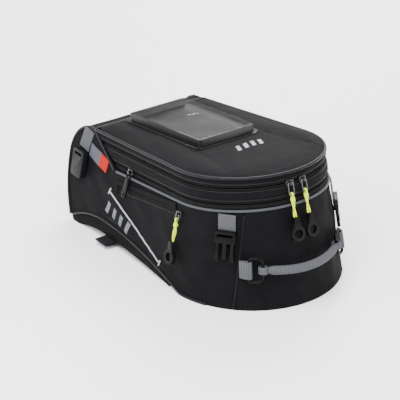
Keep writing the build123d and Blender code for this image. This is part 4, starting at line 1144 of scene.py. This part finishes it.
class TANKBAG_OT_bands(bpy.types.Operator):
    """Lid skirt, collar, zip tapes, gusset and the beads along their edges"""

    bl_idname = "tankbag.bands"
    bl_label = "Bands"

    def gusset(self):
        """The cloth between the body and the collar, which unfolds on the real bag; here it is built in one fixed
        shape.
        """
        levels = np.linspace(-29.0, -47.0, 10)
        section = [(w, -5.2) for w in levels] + [(w, -6.2) for w in levels[::-1]]
        cloth = ribbon("gusset_cloth", section, FINISH["shell"], 0.8)
        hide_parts("expander_gusset")
        low, high = to_scene(on_lid(0, 0, TOP_W - 2.0)), to_scene(on_lid(0, 0, -31.0))
        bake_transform(cloth)

    def hinge(self, corner):
        """The bead in front of the hinge, between two corners, and the strip of cloth that folds at it."""
        dark = FINISH["dark_piping"]
        y, z = HINGE_Y + 1.6, HINGE_Z + 0.2
        bead = tube("hinge_bead", np.linspace((corner, y, z), (-corner, y, z), 40), 1.7, dark)
        finish_piece(bead, "body", dark)
        across = np.linspace(-LID_HALF + 3, LID_HALF - 3, FOLD_COLUMNS)
        outer = np.stack([np.stack(np.broadcast_arrays(across, HINGE_Y + back, HINGE_Z + up), axis=-1)
                          for back, up in HINGE_FOLD], axis=1)
        outer[..., 2] += wobble(outer, 17.0, 0.3)
        cloth = slab("hinge_fold", outer, outer - (0, 0.5, 0.8), FINISH["shell"], FINISH["lining"])
        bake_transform(cloth)

    def execute(self, context):
        radius = context.scene.tank_bag_sizes.piping_radius * 1000
        dark, bright = FINISH["dark_piping"], FINISH["bright_piping"]
        for name, body, finish, material_slot, node, section, uneven in BANDS:
            made = ribbon(name, section, FINISH[finish], uneven, seed=len(name))
            if finish == "shell":
                subdivide(made)
            finish_piece(made, body, FINISH[finish], (node,))
        self.gusset()
        path = band_line(-1.6, 0.7)
        finish_piece(tube("lid_edge_bead", path, radius * 1.15, dark), "lid", dark, ("lid_binding",))
        self.hinge(path[0, 0] + 1)
        for name, body, w in BAND_BEADS:
            path = band_line(w, 0.1)
            path = path[band_floor(path[:, 1]) < w]
            finish_piece(tube(name, path, 0.8, dark, sides=8), body, dark)
        path = body_line(TOP_W - 0.2, 0.35)
        path = path[path[:, 1] < BAND_END_Y]
        finish_piece(tube("bright_top_bead", path, radius, bright), "body", bright, ("top_piping",))
        return {"FINISHED"}


class TANKBAG_OT_piping(bpy.types.Operator):
    """Beads along the side walls' front and lower edges and the rear seams"""

    bl_idname = "tankbag.piping"
    bl_label = "Piping"

    def execute(self, context):
        radius = context.scene.tank_bag_sizes.piping_radius * 1000
        dark = FINISH["dark_piping"]
        climb = level_z(BAND_END_Y, TOP_W)
        profile = front_profile(0.0, 90)
        top = np.column_stack((np.linspace(HINGE_Y, BAND_END_Y, 16)[1:], np.linspace(HINGE_Z, climb, 16)[1:]))
        edge = even(np.vstack((profile, top)), 110)
        y = np.linspace(ARCH_REAR - 40, FOOT_Y, 80)
        arch = np.column_stack((y, arch_z(y) + 1.2))
        for kind, line, node in (("front_edge_bead", edge, "front_edge_piping"),
                                 ("lower_edge_bead", arch, "lower_piping")):
            pieces = []
            for side in (-1, 1):
                path = np.column_stack((side * (wall_x(line[:, 0], line[:, 1]) + 0.1), line))
                pieces.append(tube(kind, path, radius, dark, up=(side, 0, 0.001)))
            finish_piece(joined(kind, pieces), "body", dark, (node,))
        pieces = []
        z = np.linspace(1.5, 118, 40)
        for side in (-1, 1):
            path = rear_point(-side * seam_angle(z), z, 0.1)
            pieces.append(tube("rear_seam", path, 0.7, dark, up=(0, -1, 0), sides=8))
        finish_piece(joined("rear_seam", pieces), "body", dark)
        return {"FINISHED"}


COIL_SHIFT = 1.5            # millimetres from the zip's middle line to each row of teeth
TOOTH = (1.5, 2.0, 1.3)     # along, across and high


class TANKBAG_OT_zips(bpy.types.Operator):
    """Coil teeth of the main and expander zips"""

    bl_idname = "tankbag.zips"
    bl_label = "Zips"

    def execute(self, context):
        pitch = context.scene.tank_bag_sizes.tooth_pitch * 1000
        teeth = FINISH["teeth"]
        for name, body, w in (("main_teeth_upper", "lid", MAIN_ZIP_W + COIL_SHIFT),
                              ("main_teeth_lower", "collar", MAIN_ZIP_W - COIL_SHIFT),
                              ("expander_teeth_upper", "collar", EXPANDER_ZIP_W + COIL_SHIFT),
                              ("expander_teeth_lower", "body", EXPANDER_ZIP_W - COIL_SHIFT)):
            path = band_line(w, -0.4)
            path = path[band_floor(path[:, 1]) < w - COIL_SHIFT]
            finish_piece(row(name, path, outward_of(path), pitch, TOOTH, teeth), body, teeth)
        return {"FINISHED"}


class TANKBAG_OT_stitching(bpy.types.Operator):
    """Stitch rows along the seams"""

    bl_idname = "tankbag.stitching"
    bl_label = "Stitching"

    def execute(self, context):
        pitch = context.scene.tank_bag_sizes.stitch_pitch * 1000
        bar = (pitch * 0.72, 0.7, 0.6)
        thread = FINISH["thread"]
        for name, body, w in (("skirt_stitches", "lid", -8.0), ("collar_stitches_top", "collar", -20.2),
                              ("collar_stitches_low", "collar", -27.8)):
            path = band_line(w, 0.95)
            path = path[band_floor(path[:, 1]) < w - 2]
            finish_piece(row(name, path, outward_of(path), pitch, bar, thread), body, thread)
        lid = surface_of("lid_cushion")
        up = (0, math.sin(TILT), math.cos(TILT))
        plan = u_line(LID_HALF - 6, HINGE_V, LID_RADIUS - 6, LID_REAR + LID_RADIUS)
        plans = [plan[plan[:, 1] < HINGE_V - 14]]
        plans += [np.linspace(*np.array(DARTS) * (side, 1), 40) + (shift, 0) for side in (-1, 1) for shift in (-3, 3)]
        pieces = []
        for plan in plans:
            path = seat_on_lid(lid, plan[:, 0], plan[:, 1], 0.1)
            pieces.append(row("lid_stitches", path, np.broadcast_to(up, path.shape), pitch, bar, thread))
        finish_piece(joined("lid_stitches", pieces), "lid", thread)
        pieces = []
        for side, label in ((-1, "left"), (1, "right")):
            wall = surface_of(f"side_wall_{label}")
            seam = np.linspace(SEAM_TOP, SEAM_FOOT, 60)
            profile = front_profile(8.0, 60)
            y = np.linspace(-100, 150, 60)
            arch = np.column_stack((y, arch_z(y) + 8.5))
            for line in (seam + (4.0, -1.5), seam - (4.0, -1.5), profile, arch):
                path, normals = seat(wall, line, side, 0.15)
                pieces.append(row("wall_stitches", path, normals, pitch, bar, thread))
        finish_piece(joined("wall_stitches", pieces), "body", thread)
        return {"FINISHED"}


class TANKBAG_OT_window(bpy.types.Operator):
    """Clear pocket on the lid"""

    bl_idname = "tankbag.window"
    bl_label = "Window"

    def execute(self, context):
        polished("window_frame", FINISH["border"], 0.8)
        low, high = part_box("window_film")
        width = (high[0] - low[0]) * 500 - 0.6
        points = to_bag([vertex.co for vertex in frame["nodes"]["window_film"].data.vertices])
        w = (points[:, 2] - LID_Z) * math.cos(TILT) + points[:, 1] * math.sin(TILT)
        v = points[:, 1] * math.cos(TILT) - (points[:, 2] - LID_Z) * math.sin(TILT)
        rows, columns = 60, 34
        a, b = np.meshgrid(np.linspace(v.min() + 0.6, v.max() - 0.6, rows), np.linspace(-width, width, columns),
                           indexing="ij")
        edge = np.minimum((width - np.abs(b)) / 12, np.minimum(a - v.min(), v.max() - a) / 12)
        ripple = np.array([noise.noise(Vector((p / 34, q / 26, 0.4))) for p, q in zip(a.ravel(), b.ravel())])
        lift = ripple.reshape(a.shape) * 1.5 * np.clip(edge, 0, 1)
        outer = on_lid(b, a, w.max() + 0.3 + lift)
        made = slab("window_sheet", outer, on_lid(b, a, w.max() - 0.3 + lift), FINISH["film"], FINISH["film"])
        finish_piece(subdivide(made), "lid", FINISH["film"], ("window_film",))
        centre = (WINDOW_REAR + WINDOW_FRONT) / 2
        corner_x, corner_v = WINDOW_HALF - 2.6, (WINDOW_FRONT - WINDOW_REAR) / 2 - 2.6
        line = [(a * corner_x, centre + b * corner_v) for a, b in ((-1, -1), (1, -1), (1, 1), (-1, 1), (-1, -1))]
        path = on_lid(*even(line, 160).T, LID_CROWN + 1.25)
        up = np.broadcast_to((0, math.sin(TILT), math.cos(TILT)), path.shape)
        stitches = row("window_stitches", path, up, 4.2, (3.0, 0.8, 0.6), FINISH["thread"])
        finish_piece(stitches, "lid", FINISH["thread"])
        return {"FINISHED"}


class TANKBAG_OT_prints(bpy.types.Operator):
    """Reflective seam stripe, plain slanted bars and the two-tone labels"""

    bl_idname = "tankbag.prints"
    bl_label = "Prints"

    def execute(self, context):
        silver, label = FINISH["reflective"], FINISH["label"]
        stripes, bars, labels = [], [], []
        for side, name in ((-1, "left"), (1, "right")):
            wall = surface_of(f"side_wall_{name}")
            front, rear = np.array(STRIPE_FRONT), np.array(STRIPE_REAR)
            slope = math.degrees(math.atan2(*(front - rear)[::-1]))
            run = float(np.linalg.norm(front - rear))
            grid, uvs = turned_grid((front + rear) / 2, run, 2.2, slope, 60, 3)
            stripes.append(decal("stripe", grid, 0.7, silver, wall, side, uvs))
            for end in (front, rear):
                grid, uvs = turned_grid(end, 2.2, 9.0, slope, 3, 8)
                stripes.append(decal("tick", grid, 0.7, silver, wall, side, uvs))
            for index in range(4):
                offset = (index - 1.5) * 16
                grid, uvs = turned_grid((64.0 + offset, 42.0 + offset * 0.18), 7.0, 16.0, 22, 5, 10)
                bars.append(decal("bar", grid, 0.35, FINISH["print"], wall, side, uvs))
            grid, uvs = turned_grid((121.8, 99.5), 44.0, 17.0, 10.7, 24, 10)
            labels.append(decal("label", grid, 1.5, label, wall, side, uvs))
        finish_piece(joined("reflective_stripes", stripes), "body", silver, ("seam_stripes",))
        finish_piece(joined("reflective_side_bars", bars), "body", FINISH["print"], ("side_bars",))
        finish_piece(joined("two_tone_labels", labels), "body", label, ("side_labels",))
        lid = surface_of("lid_cushion")
        pieces = []
        a, b = np.meshgrid(np.linspace(-2.9, 2.9, 4), np.linspace(-8, 8, 9), indexing="ij")
        for index in range(4):
            x, v = 6 + (index - 1.5) * 11 + a + b * 0.42, -66 + b
            high, low = [seat_on_lid(lid, x, v, lift).reshape(*a.shape, 3) for lift in (0.35, -0.2)]
            pieces.append(slab("lid_bar", high, low, silver, silver))
        finish_piece(joined("reflective_lid_bars", pieces), "lid", silver, ("lid_bars",))
        return {"FINISHED"}


class TANKBAG_OT_pockets(bpy.types.Operator):
    """Side pocket zips under their welts"""

    bl_idname = "tankbag.pockets"
    bl_label = "Pockets"

    def execute(self, context):
        shell = FINISH["shell"]
        tapes, teeth, welts = [], [], []
        front, rear = np.array(POCKET_FRONT), np.array(POCKET_REAR)
        run = float(np.linalg.norm(front - rear))
        slope = math.degrees(math.atan2(*(front - rear)[::-1]))
        across = np.array((-math.sin(math.radians(slope)), math.cos(math.radians(slope))))
        along = (rear - front) / run
        middle = (front + rear) / 2 - along * 11.0
        for side, name in ((-1, "left"), (1, "right")):
            wall = surface_of(f"side_wall_{name}")
            grid, uvs = turned_grid(middle, run, 8.0, slope, 60, 4)
            tapes.append(decal("tape", grid, 0.5, FINISH["zip_tape"], wall, side, uvs))
            for shift in (-0.9, 0.9):
                ends = np.linspace(middle - along * (run / 2 - 2), middle + along * (run / 2 - 2), 60) + across * shift
                path, normals = seat(wall, ends, side, 0.8)
                teeth.append(row("pocket_teeth", path, normals, 2.6, (1.3, 1.7, 0.9), FINISH["teeth"]))
            grid, uvs = turned_grid(middle + across * 8.2, run + 3, 8.0, slope, 60, 8)
            low, normals = seat(wall, grid, side, -SUNK)
            shares = np.linspace(-1, 1, 8)
            height = np.tile(SUNK + 2.3 * np.sqrt(np.maximum(1 - shares ** 4, 0.02)), 60)
            high = low + normals * height[:, None]
            welts.append(slab("welt", high.reshape(60, 8, 3), low.reshape(60, 8, 3), shell, shell))
            for end in (-1, 1):
                grid, uvs = turned_grid(middle + end * along * (run / 2 - 1), 6.0, 11.0, slope, 4, 6)
                welts.append(decal("patch", grid, 2.0, shell, wall, side, uvs))
        finish_piece(joined("pocket_zip_tapes", tapes), "body", FINISH["zip_tape"], ("pocket_zips",))
        finish_piece(joined("pocket_zip_teeth", teeth), "body", FINISH["teeth"])
        finish_piece(subdivide(joined("pocket_welts", welts)), "body", shell, ("pocket_flaps",))
        return {"FINISHED"}


def pull_place(joint):
    """Origin and axes of a hanging pull: X along its pivot, Y up towards it, Z outwards."""
    found = next(j for j in frame["joints"] if j["name"] == joint)
    origin = to_bag(found["pos_m"])
    hang = to_bag(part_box(joint.replace("_pull_", "_grip_"))).mean(axis=0)
    x = -np.array(found["axis"], float)
    y = origin - hang
    y -= x * (x @ y)
    y /= np.linalg.norm(y)
    return origin, np.stack((x, y, np.cross(x, y)))


CORD_TOP, CORD_LENGTH, KNOT_DROP = 1.2, 27.5, 5.5   # from the pull's pivot, along its own axis
BAIL_REACH = 1.9                                    # half the width of the cord's loop over the bail


class TANKBAG_OT_pulls(bpy.types.Operator):
    """Sliders, wire bails, knotted cords and rubber grips"""

    bl_idname = "tankbag.pulls"
    bl_label = "Pulls"

    def strand(self, turn):
        """One strand of the doubled cord, in its pull's own axes."""
        y = np.linspace(CORD_TOP, -CORD_LENGTH, 46)
        angle = turn + 1.3 * math.pi * (CORD_TOP - y) / CORD_LENGTH
        reach = 1.2 + 0.5 * np.exp(-((y + KNOT_DROP) / 2.4) ** 2)
        inward = np.clip((CORD_TOP - y) / 2.5, 0, 1)
        apart = BAIL_REACH * (1 - inward) * math.copysign(1, math.cos(turn))
        return np.column_stack((reach * np.sin(angle) * inward, y, apart + reach * np.cos(angle) * inward))

    def cord(self, kind, side, origin, axes):
        """Two twisted strands, the knot round them and the loop over the bail."""
        finish = FINISH["cord"]
        lines = [("strand", self.strand(turn), 1.15, axes[2]) for turn in (0.0, math.pi)]
        turns = np.linspace(0, 5 * math.pi, 60)
        rise = -KNOT_DROP + 1.9 * (turns / (5 * math.pi) - 0.5) * 2
        lines.append(("knot", np.column_stack((2.0 * np.cos(turns), rise, 2.0 * np.sin(turns))), 0.95, axes[1]))
        arc = np.linspace(0, math.pi, 16)
        over = np.column_stack((np.zeros(16), CORD_TOP + 1.5 * np.sin(arc), BAIL_REACH * np.cos(arc)))
        lines.append(("loop", over, 1.1, axes[0]))
        pieces = [tube(name, origin + line @ axes, radius, finish, up=tuple(up)) for name, line, radius, up in lines]
        finish_piece(joined(f"{kind}_knotted_cord_{side}", pieces), f"{kind}_pull_{side}", finish,
                     (f"{kind}_cord_{side}",))

    def grip_ribs(self, kind, side, origin, axes):
        """Four ribs across the neck of the rubber grip."""
        ribs = []
        for step in range(4):
            line = np.linspace((-2.6, 0, 0), (2.6, 0, 0), 8) + (0, -30.4 - step * 2.1, 2.55 - 0.28 * step)
            ribs.append(tube("rib", origin + line @ axes, 0.55, FINISH["rubber"], up=tuple(axes[2]), sides=8))
        finish_piece(joined(f"{kind}_grip_ribs_{side}", ribs), f"{kind}_pull_{side}", FINISH["rubber"])

    def execute(self, context):
        for side in ("left", "right"):
            for kind in ("main", "pocket"):
                place = pull_place(f"{kind}_pull_{side}")
                self.cord(kind, side, *place)
                polished(f"{kind}_grip_{side}", FINISH["rubber"], 0.9)
                polished(f"{kind}_bail_{side}", FINISH["wire"], 0.1)
                polished(f"{kind}_slider_{side}", FINISH["metal"], 0.35)
                self.grip_ribs(kind, side, *place)
        polished("expander_slider", FINISH["metal"], 0.35)
        polished("expander_pull", FINISH["plastic"], 0.5)
        return {"FINISHED"}


def strap(name, path, sideways, width, thickness, finish):
    """Flat webbing along a path, sideways being the direction of its width at each point."""
    path = np.asarray(path, float)
    sideways = np.broadcast_to(np.asarray(sideways, float), path.shape)
    sideways = sideways / np.linalg.norm(sideways, axis=1, keepdims=True)
    forward = np.gradient(path, axis=0)
    out = np.cross(forward, sideways)
    out /= np.linalg.norm(out, axis=1, keepdims=True)
    half, edge = width / 2, thickness / 2
    section = [(-half, -edge * 0.5), (-half, edge * 0.5), (-half + edge, edge), (0, edge * 1.15), (half - edge, edge),
               (half, edge * 0.5), (half, -edge * 0.5), (half - edge, -edge), (0, -edge), (-half + edge, -edge)]
    section.append(section[0])
    grid = np.stack([path + sideways * a + out * b for a, b in section], axis=1)
    uvs = uv_pairs(run_along(path), [a for a, _ in section]).reshape(-1, 2)
    return sealed(new_object(name, grid.reshape(-1, 3), grid_faces(*grid.shape[:2]), uvs), finish)


BUCKLE_ANGLE, TANK_LOOP_Y = 52.0, 77.0


class TANKBAG_OT_webbing(bpy.types.Operator):
    """Buckle tabs, front loops, ring loops and the tank strap loops"""

    bl_idname = "tankbag.webbing"
    bl_label = "Webbing"

    def execute(self, context):
        grey, black = FINISH["webbing"], FINISH["dark_webbing"]
        ring_loops, front_loops, tank_loops = [], [], []
        for side, name in ((-1, "left"), (1, "right")):
            angle = -side * BUCKLE_ANGLE
            path = rear_point(angle, np.linspace(118.5, 98.6, 12), 2.0)
            turn = math.radians(angle)
            sideways = (math.cos(turn), -math.sin(turn), 0)
            tab = strap(f"rear_webbing_tab_{name}", path, sideways, 21.6, 1.7, grey)
            finish_piece(tab, f"rear_buckle_{name}", grey, (f"rear_tab_{name}",))
            wall = surface_of(f"side_wall_{name}")
            line = np.linspace((151.0, 127.0), (157.6, 99.5), 18)
            path, normals = seat(wall, line, side, 1.6)
            front_loops.append(strap("front_loop", path, (0, 1, 0.2), 20.0, 2.2, grey))
            ring_loops.append(self.ring_loop(side))
            x = side * (float(wall_x(TANK_LOOP_Y, 0)) + 12.0)
            fold = ((30, 7.2), (2, 7.2), (0, 6.4), (2, 5.6), (30, 5.6))
            line = [(x - side * back, TANK_LOOP_Y, z) for back, z in fold]
            tank_loops.append(strap("tank_loop", even(line, 30), (0, 1, 0), 24.6, 1.4, black))
        finish_piece(joined("front_webbing_loops", front_loops), "body", grey, ("front_strap_loops",))
        finish_piece(joined("ring_webbing_loops", ring_loops), "body", grey, ("handle_loops",))
        finish_piece(joined("tank_webbing_loops", tank_loops), "body", black, ("strap_loops",))
        self.handle()
        polished("d_rings", FINISH["plastic"], 0.3)
        for name in ("left", "right"):
            polished(f"rear_buckle_{name}", FINISH["plastic"], 0.6)
            polished(f"front_buckle_{name}", FINISH["grey_plastic"], 0.9)
        return {"FINISHED"}

    def ring_axes(self, side):
        """Origin and axes of a ring: X along the surface to the rear centre, Y up, Z outwards."""
        angle = -side * RING_ANGLE
        here, above = rear_point(angle, RING_Z), rear_point(angle, RING_Z + 10)
        y = (above - here) / np.linalg.norm(above - here)
        turn = math.radians(RING_ANGLE)
        x = np.array((-side * math.cos(turn), -math.sin(turn), 0))
        z = np.cross(x, y) * -side
        z /= np.linalg.norm(z)
        return here + z * RING_OUT, np.stack((x, y, z))

    def ring_loop(self, side):
        """Folded webbing round the ring's near bar, sewn down beside it."""
        origin, axes = self.ring_axes(side)
        turns = np.linspace(-0.5 * math.pi, 0.5 * math.pi, 14)
        nose = np.column_stack((3.0 * np.cos(turns) - RING_BAR, np.zeros(14), 3.0 * np.sin(turns)))
        line = np.vstack(([(-19.5, 0, -6.8), (-12.0, 0, -4.6)], nose, [(-12.5, 0, 1.6), (-19.5, 0, -5.0)]))
        path = origin + even(line, 40) @ axes
        return strap("ring_loop", path, axes[1], 21.6, 1.6, FINISH["webbing"])

    def handle(self):
        """Tubular webbing handle with its ends folded round the rings."""
        grey = FINISH["webbing"]
        pieces, ends = [], []
        for side in (-1, 1):
            origin, axes = self.ring_axes(side)
            eye = origin + RING_BAR * axes[0]
            turns = np.linspace(0, 2 * math.pi, 26)
            loop = np.column_stack((5.2 * np.cos(turns) + 0.4, np.zeros(26), 4.9 * np.sin(turns)))
            pieces.append(strap("handle_eye", eye + loop @ axes, axes[1], 9.0, 1.5, grey))
            ends.append(eye + 5.6 * axes[0])
        middle = rear_point(0, RING_Z, 14.0)
        share = np.linspace(-1, 1, 60)
        chord = (1 - share ** 2)[:, None]
        rim = ends[0] + (ends[1] - ends[0]) * ((share + 1) / 2)[:, None]
        path = rim + chord * (middle - (ends[0] + ends[1]) / 2)
        radius = (3.8 + 1.9 * np.clip((1 - np.abs(share)) * 9, 0, 1)) * (1 + 0.03 * np.sin(share * 60))
        pieces.insert(0, tube("handle_tube", path, radius, grey, flat=0.82, sides=16))
        finish_piece(joined("tubular_handle", pieces), "carry_handle", grey, ("carry_handle",))


class TANKBAG_PT_panel(bpy.types.Panel):
    """Tank Bag tab in the 3D view's sidebar"""

    bl_idname = "TANKBAG_PT_panel"
    bl_label = "Tank Bag"
    bl_space_type = "VIEW_3D"
    bl_region_type = "UI"
    bl_category = "Tank Bag"

    def draw(self, context):
        for key in GROUPS:
            group = getattr(context.scene, key)
            for name in group.bl_rna.properties.keys():
                if name not in {"rna_type", "name"}:
                    self.layout.prop(group, name)
        for kind in STEPS:
            self.layout.operator(kind.bl_idname)


STEPS = (TANKBAG_OT_stage, TANKBAG_OT_walls, TANKBAG_OT_base, TANKBAG_OT_lid, TANKBAG_OT_bands, TANKBAG_OT_piping,
         TANKBAG_OT_zips, TANKBAG_OT_window, TANKBAG_OT_prints, TANKBAG_OT_pockets, TANKBAG_OT_pulls,
         TANKBAG_OT_webbing, TANKBAG_OT_stitching)
GROUPS = {"tank_bag_sizes": TankBagSizes, "tank_bag_colours": TankBagColours, "tank_bag_lights": TankBagLights}
CLASSES = (*GROUPS.values(), *STEPS, TANKBAG_PT_panel)


def register():
    for kind in CLASSES:
        bpy.utils.register_class(kind)
    for name, kind in GROUPS.items():
        setattr(bpy.types.Scene, name, PointerProperty(type=kind))


def unregister():
    for name in GROUPS:
        delattr(bpy.types.Scene, name)
    for kind in reversed(CLASSES):
        bpy.utils.unregister_class(kind)


def main():
    register()
    make_finishes(bpy.context.scene.tank_bag_colours)
    for kind in STEPS:
        group, name = kind.bl_idname.split(".")
        getattr(getattr(bpy.ops, group), name)()


if __name__ == "__main__":
    main()
